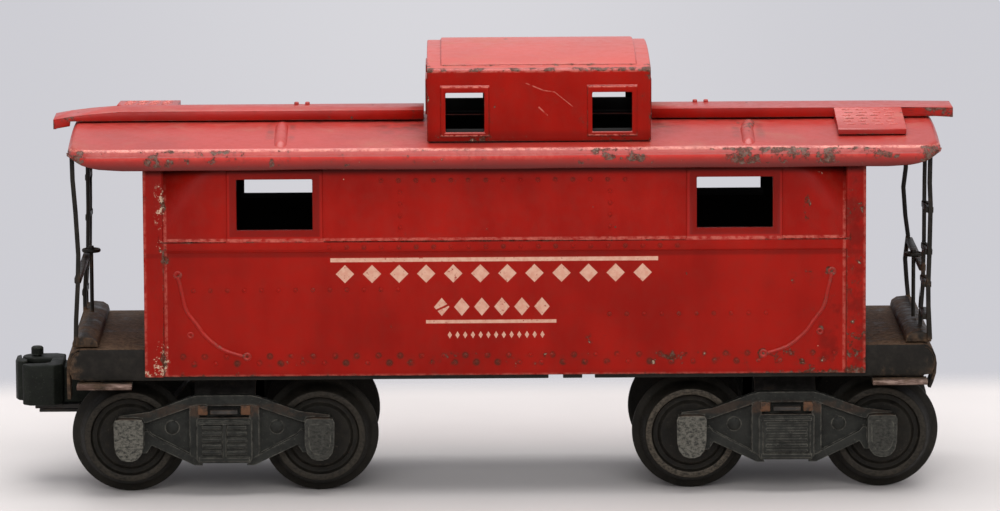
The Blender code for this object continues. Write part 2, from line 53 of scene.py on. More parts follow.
class Shade:
    """A material written as sums. Numbers and sockets go into the same calls, and lengths are millimetres."""

    def __init__(self, name):
        self.material = bpy.data.materials.new(name)
        self.material.use_nodes = True
        self.tree = self.material.node_tree
        self.tree.nodes.clear()
        self.bsdf = self.new("ShaderNodeBsdfPrincipled")
        self.out = self.new("ShaderNodeOutputMaterial", {"Surface": self.bsdf.outputs["BSDF"]})
        coords = self.new("ShaderNodeTexCoord").outputs
        scaled = self.new("ShaderNodeVectorMath", {0: coords["Object"], "Scale": 1 / MM}, operation="SCALE").outputs[0]
        self.place = self.new("ShaderNodeVectorMath", {0: scaled, 1: (-CX, 0, -CZ)}, operation="ADD").outputs[0]
        self.x, self.y, self.z = self.new("ShaderNodeSeparateXYZ", {0: self.place}).outputs
        _, self.ny, self.nz = self.new("ShaderNodeSeparateXYZ", {0: coords["Normal"]}).outputs

    def new(self, kind, inputs=None, **settings):
        """A node with those settings, and with those inputs by name or number."""
        made = self.tree.nodes.new(kind)
        for key, value in settings.items():
            setattr(made, key, value)
        for key, value in (inputs or {}).items():
            self.feed(made.inputs[key], value)
        return made

    def feed(self, socket, value):
        if isinstance(value, bpy.types.NodeSocket):
            self.tree.links.new(value, socket)
        elif isinstance(value, tuple) and len(value) == 3 and len(socket.default_value) == 4:
            socket.default_value = (*value, 1.0)
        else:
            socket.default_value = value

    def do(self, operation, *values):
        return self.new("ShaderNodeMath", dict(enumerate(values)), operation=operation).outputs[0]

    def chain(self, operation, values):
        return functools.reduce(lambda a, b: self.do(operation, a, b), values)

    def add(self, *values):
        return self.chain("ADD", values)

    def sub(self, a, b):
        return self.do("SUBTRACT", a, b)

    def mul(self, *values):
        return self.chain("MULTIPLY", values)

    def most(self, *values):
        return self.chain("MAXIMUM", values)

    def inverse(self, a):
        return self.do("SUBTRACT", 1.0, a)

    def size(self, a):
        return self.do("ABSOLUTE", a)

    def length(self, dx, dz):
        return self.do("SQRT", self.add(self.mul(dx, dx), self.mul(dz, dz)))

    def ramp(self, value, low, high, to_low=0.0, to_high=1.0):
        if low > high:
            low, high, to_low, to_high = high, low, to_high, to_low
        inputs = {"Value": value, "From Min": low, "From Max": high, "To Min": to_low, "To Max": to_high}
        return self.new("ShaderNodeMapRange", inputs, interpolation_type="SMOOTHSTEP").outputs[0]

    def band(self, value, low, high, soft=0.2):
        return self.mul(self.ramp(value, low - soft, low + soft), self.ramp(value, high + soft, high - soft))

    def bands(self, value, soft, *spans):
        return self.most(*(self.band(value, low, high, soft) for low, high in spans))

    def moved(self, shift, stretch=(1, 1, 1)):
        return self.new("ShaderNodeMapping", {"Vector": self.place, "Location": shift, "Scale": stretch}).outputs[0]

    def noise(self, scale, detail, rough=0.55, stretch=(1, 1, 1), shift=(0, 0, 0)):
        inputs = {"Vector": self.moved(shift, stretch), "Scale": scale, "Detail": detail, "Roughness": rough}
        return self.new("ShaderNodeTexNoise", inputs).outputs["Fac"]

    def specks(self, spacing, radius, share, shift=0.0):
        """Small round spots: one cell in so many holds a spot of about that radius."""
        soft = self.new("ShaderNodeTexNoise", {"Vector": self.place, "Scale": 1.6}).outputs["Color"]
        faint = self.new("ShaderNodeVectorMath", {0: soft, "Scale": radius * 1.6}, operation="SCALE").outputs[0]
        place = self.moved((shift, shift * 0.7, -shift))
        place = self.new("ShaderNodeVectorMath", {0: place, 1: faint}, operation="ADD").outputs[0]
        cells = self.new("ShaderNodeTexVoronoi", {"Vector": place, "Scale": 1.0 / spacing}).outputs
        pick = self.new("ShaderNodeSeparateColor", {0: cells["Color"]}).outputs
        chosen = self.do("LESS_THAN", pick[0], share)
        reach = self.mul(pick[1], radius / spacing)
        near = self.ramp(self.sub(cells["Distance"], reach), 0.25 * radius / spacing, 0.0)
        return self.mul(near, chosen)

    def mix(self, factor, a, b):
        return self.new("ShaderNodeMix", {0: factor, 6: a, 7: b}, data_type="RGBA").outputs[2]

    def blend(self, factor, a, b):
        return self.new("ShaderNodeMix", {0: factor, 2: a, 3: b}, data_type="FLOAT").outputs[0]

    def edges(self, radius):
        """1 on the corners of the shape, and 0 away from them."""
        rounded = self.new("ShaderNodeBevel", {"Radius": radius * MM}, samples=4).outputs[0]
        flat = self.new("ShaderNodeNewGeometry").outputs["Normal"]
        dot = self.new("ShaderNodeVectorMath", {0: rounded, 1: flat}, operation="DOT_PRODUCT")
        return self.ramp(dot.outputs["Value"], 0.995, 0.86)

    def line(self, a, b, width):
        """1 within that width of the segment from a to b, both (x, z)."""
        (ax, az), (bx, bz) = a, b
        dx, dz = bx - ax, bz - az
        length2 = dx * dx + dz * dz
        px, pz = self.sub(self.x, ax), self.sub(self.z, az)
        along = self.mul(self.add(self.mul(px, dx), self.mul(pz, dz)), 1 / length2)
        along = self.do("MINIMUM", self.do("MAXIMUM", along, 0.0), 1.0)
        ex, ez = self.sub(px, self.mul(along, dx)), self.sub(pz, self.mul(along, dz))
        return self.ramp(self.length(ex, ez), width, width * 0.4)

    def spot(self, x, z, rx, rz=None, soft=0.6):
        """1 inside an ellipse round (x, z), fading over the outer part."""
        rz = rz or rx
        dx, dz = self.mul(self.sub(self.x, x), 1 / rx), self.mul(self.sub(self.z, z), 1 / rz)
        return self.ramp(self.length(dx, dz), 1.0, 1.0 - soft)

    def spots(self, *shapes):
        return self.most(*(self.spot(*shape) for shape in shapes))

    def finish(self, colour, rough, height=None, metal=0.0, depth=0.1):
        self.feed(self.bsdf.inputs["Base Color"], colour)
        self.feed(self.bsdf.inputs["Roughness"], rough)
        self.feed(self.bsdf.inputs["Metallic"], metal)
        if height is not None:
            bump = self.new("ShaderNodeBump", {"Strength": 1.0, "Distance": depth * MM, "Height": height})
            self.feed(self.bsdf.inputs["Normal"], bump.outputs[0])
        return self.material


RED_DEEP = (0.245, 0.0055, 0.0027)
RED_FULL = (0.335, 0.0086, 0.0043)
RED_DULL = (0.21, 0.022, 0.014)
RED_FADED_AND_LIT = (0.60, 0.13, 0.10)
RED_DIM_AND_SHADE = (0.060, 0.0055, 0.0038)
RED_HIGHLIGHT = (0.66, 0.026, 0.016)
RED_RUBBED_AND_HIGHLIGHT = (0.58, 0.17, 0.125)
RED_ROUND_CHIPS = (0.165, 0.018, 0.011)
GRIME_AND_SHADE = (0.075, 0.020, 0.012)
TAN_DUST = (0.30, 0.135, 0.085)
RUST = (0.070, 0.024, 0.013)
GREY_RUST = (0.135, 0.088, 0.066)
CREAM = (0.55, 0.40, 0.28)
LINE_PAINT = (0.62, 0.36, 0.26)
LINE_PAINT_DULL = (0.56, 0.27, 0.19)
INSIDE = (0.006, 0.0055, 0.005)
BROWN_DARK, BROWN_PALE = (0.046, 0.026, 0.014), (0.112, 0.068, 0.040)
WORN_STEEL_DARK, WORN_STEEL = (0.085, 0.050, 0.038), (0.27, 0.19, 0.155)
CAST_RUST = (0.105, 0.050, 0.026)
STEEL_STAIN = (0.07, 0.043, 0.028)


def red_enamel(name, wear=None, inner=None, decor=None, dust=1.0, sheen=0.5, rows=None, faded_and_lit=0.0, dim_and_shade=None, bare=None,
               rub=None, highlight=None):
    """Worn red enamel. These say by place how much there is: wear(s) of chipping, inner(s) of the dark inside,
    decor(s) of painted lines, rows(s) of dirt and of painted shade, the dimming of duller paint and of painted shade,
    the painted highlight, bare(s) of chips down to pale metal, and the rubbing of edges to pink and of painted
    highlights."""
    s = Shade(name)
    s.bsdf.inputs["Specular IOR Level"].default_value = sheen
    cloud = s.noise(0.035, 3, 0.55)
    fine = s.noise(0.45, 6, 0.62)
    streak = s.noise(0.10, 5, 0.6, stretch=(1.0, 1.0, 0.35))
    tone = s.ramp(s.add(s.mul(cloud, 0.6), s.mul(streak, 0.4)), 0.36, 0.62)
    colour = s.mix(tone, RED_DEEP, RED_FULL)
    dull = s.mul(s.ramp(fine, 0.40, 0.72), 0.22)
    colour = s.mix(dull, colour, RED_DULL)
    # Paler paint: fading, and on the roof, the cupola's top and the walkways' tops a painted highlight of the light
    # from above.
    if faded_and_lit:
        colour = s.mix(faded_and_lit, colour, RED_FADED_AND_LIT)
    # Duller paint, and painted shade where the callers put it.
    if dim_and_shade:
        colour = s.mix(dim_and_shade(s), colour, RED_DIM_AND_SHADE)
    # Painted highlight where the callers put it.
    if highlight:
        colour = s.mix(highlight(s), colour, RED_HIGHLIGHT)
    # Dirt, and on the roof painted shade beside the ribs.
    if rows:
        grime_and_shade = s.mul(rows(s), s.ramp(s.noise(0.22, 5, 0.65, shift=(7, 1, 3)), 0.40, 0.62))
        colour = s.mix(grime_and_shade, colour, GRIME_AND_SHADE)
    # Edges rubbed to pink, and painted highlights where the callers put them.
    if rub:
        rubbed_and_highlight = s.mul(rub(s), s.ramp(s.noise(0.9, 6, 0.72, shift=(21, 3, 8)), 0.36, 0.60))
        colour = s.mix(rubbed_and_highlight, colour, RED_RUBBED_AND_HIGHLIGHT)
    up = s.ramp(s.nz, 0.35, 0.9)
    tan = s.mul(up, s.ramp(s.noise(0.09, 6, 0.65, shift=(31, 5, 2)), 0.50, 0.78), 0.45 * dust)
    colour = s.mix(tan, colour, TAN_DUST)
    # Chips: rust that follows edges, more where wear() says, and loose specks.
    edge = s.edges(0.45)
    bite = s.noise(0.55, 7, 0.68, shift=(3, 11, 7))
    clump = s.noise(0.075, 4, 0.6, shift=(13, 3, 29))
    extra = wear(s) if wear else 0.0
    level = s.add(s.mul(edge, 0.26), extra, s.mul(s.sub(clump, 0.5), 0.55), s.mul(s.sub(bite, 0.5), 1.15))
    grainy = s.ramp(s.noise(2.4, 4, 0.65, shift=(17, 2, 6)), 0.34, 0.52, 0.35, 1.0)
    chip = s.mul(s.ramp(level, 0.31, 0.36), grainy)
    halo = s.ramp(level, 0.17, 0.36)
    dark_specks = s.most(s.specks(4.6, 0.34, 0.23), s.specks(9.0, 0.6, 0.16, 17.0))
    chip_all = s.most(chip, dark_specks)
    colour = s.mix(s.mul(halo, 0.45), colour, RED_ROUND_CHIPS)
    patina = s.mix(s.ramp(s.noise(0.9, 5, 0.7, shift=(9, 9, 9)), 0.42, 0.62), RUST, GREY_RUST)
    colour = s.mix(chip_all, colour, patina)
    worn_through = s.mul(chip, s.ramp(bite, 0.66, 0.72))
    if bare:
        flecks = s.mul(bare(s), s.ramp(s.noise(0.95, 6, 0.75, shift=(1, 6, 4)), 0.545, 0.58))
        worn_through = s.most(worn_through, flecks)
    pale = s.mul(s.most(s.specks(7.0, 0.22, 0.16, 41.0), worn_through), 0.85)
    colour = s.mix(pale, colour, CREAM)
    rough = s.blend(chip_all, s.ramp(s.add(fine, s.mul(tan, 0.8)), 0.3, 0.9, 0.30, 0.52), 0.78)
    if decor:
        paint = s.mul(decor(s), s.inverse(chip_all), s.ramp(s.noise(1.3, 5, 0.7, shift=(2, 4, 8)), 0.30, 0.42))
        tint = s.mix(s.ramp(s.noise(0.8, 4, 0.6), 0.35, 0.7), LINE_PAINT, LINE_PAINT_DULL)
        colour = s.mix(paint, colour, tint)
        rough = s.blend(paint, rough, 0.5)
    height = s.add(s.mul(fine, 0.10), s.mul(chip_all, -0.55), s.mul(s.noise(0.12, 3, 0.5, shift=(5, 5, 5)), 0.9))
    if inner:
        hidden = inner(s)
        colour = s.mix(hidden, colour, INSIDE)
        rough = s.blend(hidden, rough, 0.85)
    return s.finish(colour, rough, height, depth=0.14)


def black_enamel(name, rusty=None, base=(0.0080, 0.0068, 0.0052), amount=0.0, tread=None):
    s = Shade(name)
    s.bsdf.inputs["Specular IOR Level"].default_value = 0.13
    fine = s.noise(0.5, 7, 0.66)
    cloud = s.noise(0.11, 4, 0.6, shift=(4, 7, 1))
    edge = s.edges(0.35)
    extra = rusty(s) if rusty else 0.0
    level = s.add(s.mul(edge, 0.22), extra, s.mul(s.sub(cloud, 0.5), 0.7), s.mul(s.sub(fine, 0.5), 0.8), amount)
    worn = s.ramp(level, 0.14, 0.50)
    grain = s.ramp(s.noise(1.1, 6, 0.7, shift=(8, 2, 5)), 0.36, 0.66)
    brown = s.mix(grain, BROWN_DARK, BROWN_PALE)
    colour = s.mix(worn, s.mix(s.ramp(fine, 0.35, 0.7), base, tuple(2.0 * c for c in base)), brown)
    metal = 0.0
    if tread:
        bare = tread(s)
        scuffs = s.ramp(s.noise(0.45, 6, 0.7, stretch=(0.35, 1, 1.4)), 0.42, 0.62)
        colour = s.mix(bare, colour, s.mix(scuffs, WORN_STEEL_DARK, WORN_STEEL))
        metal = s.mul(bare, 0.25)
    rough = s.blend(worn, s.ramp(fine, 0.3, 0.8, 0.38, 0.60), 0.82)
    height = s.add(s.mul(fine, 0.35), s.mul(worn, 0.35), s.mul(grain, s.mul(worn, 0.4)))
    return s.finish(colour, rough, height, metal=metal, depth=0.12)


def diecast(name, light=None, dark=(0.0104, 0.0106, 0.0090), pale=(0.070, 0.069, 0.058), rusty=None, rub=0.9):
    s = Shade(name)
    s.bsdf.inputs["Specular IOR Level"].default_value = 0.16
    fine = s.noise(0.7, 7, 0.68)
    cloud = s.noise(0.16, 5, 0.62, shift=(2, 9, 4))
    tone = s.ramp(s.add(s.mul(fine, 0.5), s.mul(cloud, 0.5)), 0.38, 0.64)
    colour = s.mix(tone, dark, tuple(2.3 * c for c in dark))
    flecks = s.mul(s.ramp(s.noise(1.7, 7, 0.8), 0.58, 0.66), 0.5)
    rubbed = s.most(s.mul(s.edges(0.4), s.ramp(fine, 0.34, 0.62), rub), flecks)
    if light:
        rubbed = s.most(rubbed, s.mul(light(s), s.ramp(s.noise(1.5, 7, 0.75, stretch=(0.8, 1, 1.3)), 0.36, 0.60)))
    colour = s.mix(rubbed, colour, pale)
    if rusty:
        stain = s.mul(rusty(s), s.ramp(s.noise(0.7, 6, 0.7, shift=(6, 6, 1)), 0.36, 0.56))
        colour = s.mix(stain, colour, CAST_RUST)
    rough = s.blend(rubbed, s.ramp(fine, 0.3, 0.7, 0.52, 0.74), 0.46)
    height = s.add(s.mul(fine, 0.55), s.mul(cloud, 0.7))
    return s.finish(colour, rough, height, metal=0.15, depth=0.16)


def steel(name, much, base=(0.22, 0.20, 0.175)):
    """much runs from 0 to 1 and says how far the stains have spread."""
    s = Shade(name)
    fine = s.noise(0.6, 7, 0.68)
    rings = s.noise(1.4, 3, 0.5, stretch=(1, 0.15, 1))
    spread = s.ramp(s.add(s.mul(fine, 0.6), s.mul(s.noise(0.14, 4, 0.6), 0.4)), 0.56 - 0.2 * much, 0.68 - 0.1 * much)
    colour = s.mix(spread, s.mix(s.ramp(rings, 0.3, 0.7), base, tuple(0.72 * c for c in base)), STEEL_STAIN)
    metal = s.blend(spread, 0.85, 0.1)
    rough = s.blend(spread, s.ramp(fine, 0.3, 0.7, 0.34, 0.6), 0.8)
    return s.finish(colour, rough, s.mul(fine, 0.5), metal=metal, depth=0.08)


# ---- mesh helpers


def from_bmesh(name, work, body, material, stands_for=(), crease=38.0, top=None, closed=True):
    """top is the material of the faces that look up, if they have one of their own. The faces of closed forms are
    turned outwards first."""
    if closed:
        bmesh.ops.recalc_face_normals(work, faces=work.faces)
    mesh = bpy.data.meshes.new(name)
    work.normal_update()
    if top:
        for face in work.faces:
            face.material_index = int(face.normal.z > 0.3)
    work.to_mesh(mesh)
    work.free()
    mesh.materials.append(material)
    if top:
        mesh.materials.append(top)
    mesh.polygons.foreach_set("use_smooth", [True] * len(mesh.polygons))
    mesh.set_sharp_from_angle(angle=math.radians(crease))
    obj = bpy.data.objects.new(name, mesh)
    bpy.context.scene.collection.objects.link(obj)
    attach(obj, body)
    if stands_for:
        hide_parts(*stands_for)
    return obj


def sharp_edges(edges, degrees):
    return [e for e in edges if len(e.link_faces) == 2 and e.calc_face_angle(0) > math.radians(degrees)]


def softened(node, body, material, width, segments=2, top=None):
    """The CAD node with its corners rounded off by that width."""
    work = bmesh.new()
    work.from_mesh(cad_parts[node].data)
    bmesh.ops.remove_doubles(work, verts=work.verts, dist=2e-6)
    bmesh.ops.dissolve_limit(work, angle_limit=math.radians(0.3), verts=work.verts, edges=work.edges)
    bmesh.ops.dissolve_degenerate(work, dist=5e-6, edges=work.edges)
    picked = sharp_edges(work.edges, 30)
    bmesh.ops.bevel(work, geom=picked, offset=width * MM, offset_type="OFFSET", segments=segments, profile=0.5,
                    affect="EDGES", clamp_overlap=False, miter_outer="SHARP", loop_slide=True)
    bmesh.ops.triangulate(work, faces=[f for f in work.faces if len(f.verts) > 4])
    return from_bmesh(node + "_skin", work, body, material, (node,), 40.0, top, closed=False)


def put(work, points, faces):
    """Points are measured like the paint. Returns the new vertices."""
    made = [work.verts.new(((p[0] + CX) * MM, p[1] * MM, (p[2] + CZ) * MM)) for p in points]
    for face in faces:
        work.faces.new([made[i] for i in face])
    return made


def grid_faces(rows, columns, closed_rows=False, closed_columns=False, start=0):
    faces = []
    for i in range(rows if closed_rows else rows - 1):
        for j in range(columns if closed_columns else columns - 1):
            a, b = start + i * columns, start + (i + 1) % rows * columns
            k = (j + 1) % columns
            faces.append((a + j, a + k, b + k, b + j))
    return faces


def lathe(work, profile, axis, centre, steps=96, closed=True):
    """profile is (radius, height) pairs along the axis, turned about it."""
    points = []
    for radius, height in profile:
        for k in range(steps):
            a = 2 * math.pi * k / steps
            u, v = radius * math.cos(a), radius * math.sin(a)
            local = {"x": (height, u, v), "y": (u, height, v), "z": (u, v, height)}[axis]
            points.append([c + d for c, d in zip(centre, local)])
    put(work, points, grid_faces(len(profile), steps, closed_rows=closed, closed_columns=True))


def dome(work, centre, radius, height, normal, rings=3, steps=10):
    """A low round head that stands on a surface."""
    n = Vector(normal).normalized()
    u = n.orthogonal().normalized()
    v = n.cross(u)
    c = Vector(centre)
    points = [c + n * height]
    for i in range(1, rings + 1):
        a = math.pi / 2 * i / rings
        r, h = radius * math.sin(a), height * math.cos(a)
        for k in range(steps):
            t = 2 * math.pi * k / steps
            points.append(c + u * (r * math.cos(t)) + v * (r * math.sin(t)) + n * (h - (0.15 if i == rings else 0)))
    faces = [(0, 1 + k, 1 + (k + 1) % steps) for k in range(steps)]
    faces += grid_faces(rings, steps, closed_columns=True, start=1)
    put(work, points, faces)


def tube(work, path, radius, steps, flat=1.0):
    """A round bar along (x, y, z) points. flat squeezes it across Y."""
    points, ps = [], [Vector(p) for p in path]
    for i, p in enumerate(ps):
        along = (ps[min(i + 1, len(ps) - 1)] - ps[max(i - 1, 0)]).normalized()
        side = along.cross(Vector((0, 1, 0)))
        side = side.normalized() if side.length > 1e-6 else Vector((1, 0, 0))
        out = side.cross(along).normalized()
        for k in range(steps):
            a = 2 * math.pi * k / steps
            points.append(p + side * (radius * math.cos(a)) + out * (radius * flat * math.sin(a)))
    caps = [tuple(range(steps)), tuple(range((len(ps) - 1) * steps, len(ps) * steps))[::-1]]
    put(work, points, grid_faces(len(ps), steps, closed_columns=True) + caps)


def round_off(work, edges, width, segments):
    bmesh.ops.bevel(work, geom=edges, offset=width * MM, segments=segments, profile=0.5, affect="EDGES",
                    clamp_overlap=True)


def rounded_box(work, x, y, z, radius):
    """A block with all its corners rounded off."""
    (x0, x1), (y0, y1), (z0, z1) = sorted(x), sorted(y), sorted(z)
    made = put(work, [(a, b, c) for a in (x0, x1) for b in (y0, y1) for c in (z0, z1)],
               [(0, 1, 3, 2), (4, 6, 7, 5), (0, 4, 5, 1), (2, 3, 7, 6), (0, 2, 6, 4), (1, 5, 7, 3)])
    round_off(work, list({e for v in made for e in v.link_edges}), radius, 2)


def plate(work, outline, y0, y1, soften, segments=2):
    """A closed (x, z) outline pushed from y0 to y1, with its corners rounded off."""
    n = len(outline)
    sides = [(i, (i + 1) % n, n + (i + 1) % n, n + i) for i in range(n)]
    made = put(work, [(x, y0, z) for x, z in outline] + [(x, y1, z) for x, z in outline],
               [tuple(range(n)), tuple(range(2 * n - 1, n - 1, -1))] + sides)
    round_off(work, sharp_edges({e for v in made for e in v.link_edges}, 25), soften, segments)


def smooth_path(points, count):
    """count points along a curve through the given ones."""
    ps = [Vector(p) for p in points]
    ps = [2 * ps[0] - ps[1], *ps, 2 * ps[-1] - ps[-2]]
    out, spans = [], len(ps) - 3
    for i in range(count):
        t = i / (count - 1) * spans
        k = min(int(t), spans - 1)
        t -= k
        a, b, c, d = ps[k:k + 4]
        out.append(0.5 * ((2 * b) + (c - a) * t + (2 * a - 5 * b + 4 * c - d) * t * t
                          + (3 * b - a - 3 * c + d) * t ** 3))
    return out


def roof_z(y):
    """The height of the crowned roof that far from its middle line."""
    return 75.6 - 2.75 * (y / ROOF_HALF_WIDTH) ** 2


# ---- materials


def chips_body(s):
    post = s.mul(s.band(s.x, -74.9, -70.3, 0.5), s.ramp(s.noise(0.16, 3, 0.5, shift=(0, 0, 17)), 0.42, 0.62), 0.17)
    post_right = s.mul(s.band(s.x, 70.5, 74.9, 0.4), 0.14)
    foot = s.mul(s.ramp(s.z, 26.6, 25.3), 0.17)
    joint = s.mul(s.spots((-70.6, 50.6, 2.0, 3.6), (-70.7, 60.5, 1.1, 3.6), (-70.6, 29.0, 1.4, 4.4)), 0.26)
    rivets = s.mul(s.band(s.z, 26.9, 30.2, 0.8), s.band(s.x, -50.0, 62.0, 6.0), 0.14)
    low_right = s.mul(s.ramp(s.x, 46.0, 64.0), s.ramp(s.z, 51.0, 46.0), 0.13)
    patches = s.mul(s.spots((-40.5, 28.8, 3.2, 1.8), (-24.3, 36.5, 2.4, 3.0), (-28.6, 62.0, 1.5, 1.8),
                            (19.5, 33.0, 5.0, 2.6), (35.0, 29.0, 4.0, 1.6), (62.5, 60.0, 1.2, 5.0)), 0.20)
    bosses = s.mul(s.spots((-67.7, 46.5, 1.3), (-53.5, 29.3, 1.3), (67.0, 46.6, 1.3), (53.3, 29.4, 1.3),
                           (65.2, 34.5, 1.0), (-65.2, 34.0, 1.0)), 0.30)
    return s.add(post, post_right, foot, rivets, low_right, joint, patches, bosses)


def bare_body(s):
    """Flecks of pale metal down the left post, and a few on the right one."""
    strong = s.spots((-71.2, 29.0, 2.2, 4.6), (-71.2, 52.6, 1.0, 1.6), (65.0, 67.0, 0.9, 0.5), (-73.0, 25.9, 3.5, 0.8))
    return s.ramp(s.most(strong, s.mul(s.spot(-71.4, 61.0, 1.5, 6.0), 0.9)), 0.05, 0.5)


def rub_and_highlight_body(s):
    """Paler: a line along the upper edge of the belt and along the seams of the posts, which is painted highlight, and
    the outer edges of the posts and the foot.
    """
    belt_highlight = s.band(s.z, 53.35, 54.05, 0.1)
    seam_highlight = s.mul(s.band(s.size(s.x), 69.9, 70.5, 0.12), s.ramp(s.z, 68.0, 60.0), 0.35)
    edge = s.mul(s.ramp(s.size(s.x), 73.9, 74.5), 0.35)
    return s.most(s.mul(belt_highlight, s.band(s.x, -69.8, 69.8, 0.3), 0.45), seam_highlight, edge, s.mul(s.ramp(s.z, 25.7, 25.2), 0.4))


def dim_and_shade_body(s):
    """Darker: the left end, the window frames and the foot; painted shade under the belt and painted shadow under the
    roof; a stain on and beside the right post; and a little painted shade over the whole side.
    """
    left = s.mul(s.ramp(s.x, -30.0, -72.0), 0.20)
    frames = s.mul(s.band(s.size(s.x), 38.2, 56.9, 0.2), s.band(s.z, 54.4, 67.8, 0.2), 0.50)
    # Painted shade under the belt.
    belt = s.mul(s.band(s.z, 50.0, 51.2, 0.4), 0.42)
    foot = s.mul(s.ramp(s.z, 27.2, 25.2), 0.25)
    # Painted shadow under the roof, along the top of the side.
    roof_shadow = s.ramp(s.z, 66.7, 68.3)
    right = s.most(s.band(s.x, 70.2, 74.9, 0.4), s.mul(s.band(s.x, 65.0, 69.8, 1.0), s.ramp(s.z, 52.0, 44.0)))
    stain = s.mul(right, s.ramp(s.noise(0.14, 5, 0.65, shift=(5, 0, 2)), 0.44, 0.62), 0.46)
    # The floor of 0.08 is painted shade over the whole side.
    return s.most(0.08, left, frames, belt, foot, roof_shadow, stain)


SIDE_FACE, BELT_FACE = 26.08, 26.58
LOW_ROW, BELT_ROW = 29.35, 52.2
# First x, pitch, count and height of the rows of rivets on a side, then reach and strength of the dirt round a head.
RIVET_ROWS = ((-66.8, 4.5, 31, LOW_ROW, 0.95, 0.8), (-64.55, 4.5, 30, 27.85, 1.0, 0.9),
              (-25.5, 3.6, 15, 66.0, 0.7, 0.45), (-36.3, 3.6, 21, BELT_ROW, 0.7, 0.5),
              (-64.5, 3.53, 13, 43.2, 0.65, 0.3), (21.6, 3.6, 10, 37.8, 0.65, 0.4))


def dirt_rows(s):
    """Rings of dirt round the rows of rivets."""
    def dots(x0, pitch, count, z, reach):
        turn = s.do("FRACT", s.add(s.mul(s.sub(s.x, x0), 1 / pitch), 0.5))
        dx, dz = s.mul(s.sub(turn, 0.5), pitch), s.sub(s.z, z)
        return s.mul(s.ramp(s.length(dx, dz), reach, reach * 0.5),
                     s.band(s.x, x0 - pitch / 2, x0 + pitch * (count - 0.5), 0.1))

    rows = s.most(*(s.mul(dots(*row), strength) for *row, strength in RIVET_ROWS))
    return s.mul(rows, s.ramp(s.size(s.y), 25.6, 25.8))


def painted_lines(s):
    """A stripe, a rule and rows of plain lozenges, on the two sides of the car."""
    outside = s.mul(s.ramp(s.size(s.y), 25.85, 25.95), s.ramp(s.size(s.ny), 0.6, 0.8))

    def bar(x0, x1, z0, z1):
        return s.mul(s.band(s.x, x0, x1, 0.06), s.band(s.z, z0, z1, 0.06))

    def row(x0, pitch, count, z, half_w, half_h):
        turn = s.do("FRACT", s.mul(s.sub(s.x, x0), 1 / pitch))
        across = s.mul(s.size(s.sub(turn, 0.5)), pitch / half_w)
        up = s.mul(s.size(s.sub(s.z, z)), 1 / half_h)
        shape = s.ramp(s.add(across, up), 1.04, 0.96)
        return s.mul(shape, s.band(s.x, x0, x0 + pitch * count, 0.02))

    rows = s.most(bar(-36.1, 31.7, 49.0, 49.85), bar(-16.4, 10.6, 36.05, 36.75), row(-35.9, 5.6, 12, 46.5, 1.9, 1.9),
                  row(-15.2, 4.15, 6, 39.5, 1.6, 1.9), row(-12.3, 1.6, 13, 33.6, 0.45, 0.75))
    scratch = s.line((-14.6, 38.6), (-11.8, 39.9), 0.3)
    return s.mul(rows, outside, s.inverse(scratch))


def inside_body(s):
    return s.mul(s.ramp(s.size(s.y), 25.8, 25.7), s.ramp(s.size(s.x), 74.0, 73.9))


def inside_cupola(s):
    return s.mul(s.ramp(s.size(s.y), 24.7, 24.6), s.band(s.x, -15.55, 29.95, 0.05), s.ramp(s.z, 89.0, 88.9))


def chips_cupola(s):
    rim = s.mul(s.band(s.z, 88.3, 89.5, 0.2), s.ramp(s.size(s.y), 23.4, 24.4), 0.30)
    crease = s.mul(s.band(s.size(s.y), 21.9, 22.9, 0.2), s.ramp(s.z, 88.8, 89.2), 0.20)
    corner = s.mul(s.spots((-15.9, 88.3, 1.5, 2.2), (30.3, 88.0, 2.0, 2.6), (30.2, 79.0, 0.8, 5.0),
                           (-15.9, 80.0, 0.7, 7.0)), 0.26)
    foot = s.mul(s.ramp(s.z, 76.2, 74.9), 0.16)
    windows = s.mul(s.spots((-2.4, 79.5, 1.4, 3.5), (16.6, 78.5, 2.0, 3.0), (28.5, 83.5, 1.0, 3.0)), 0.15)
    return s.add(rim, crease, corner, foot, windows)


def rub_and_highlight_cupola(s):
    """Two scratches, and painted highlights along the upper and lower edges of the windows and on the rim."""
    marks = s.most(s.line((4.6, 85.9), (8.2, 84.4), 0.16), s.line((8.2, 84.4), (10.4, 84.1), 0.14),
                   s.line((7.2, 80.9), (8.9, 79.3), 0.20), s.line((10.4, 84.1), (14.2, 81.0), 0.12))
    window_lip_highlights = s.mul(s.bands(s.z, 0.08, (74.9, 75.3), (85.05, 85.5)), s.ramp(s.size(s.y), 25.05, 25.2), 0.8)
    return s.most(s.mul(marks, 0.6), window_lip_highlights, s.mul(s.band(s.z, 88.2, 88.9, 0.15), 0.5))


# The rim, the low part and the left end of the cupola's sides darker, and 0.15 of painted shade over all of them.
def dim_and_shade_cupola(s):
    rim = s.mul(s.band(s.z, 88.4, 89.6, 0.2), 0.25)
    return s.most(0.15, rim, s.mul(s.ramp(s.z, 77.2, 75.0), 0.38), s.mul(s.ramp(s.x, -13.0, -15.9), 0.24))


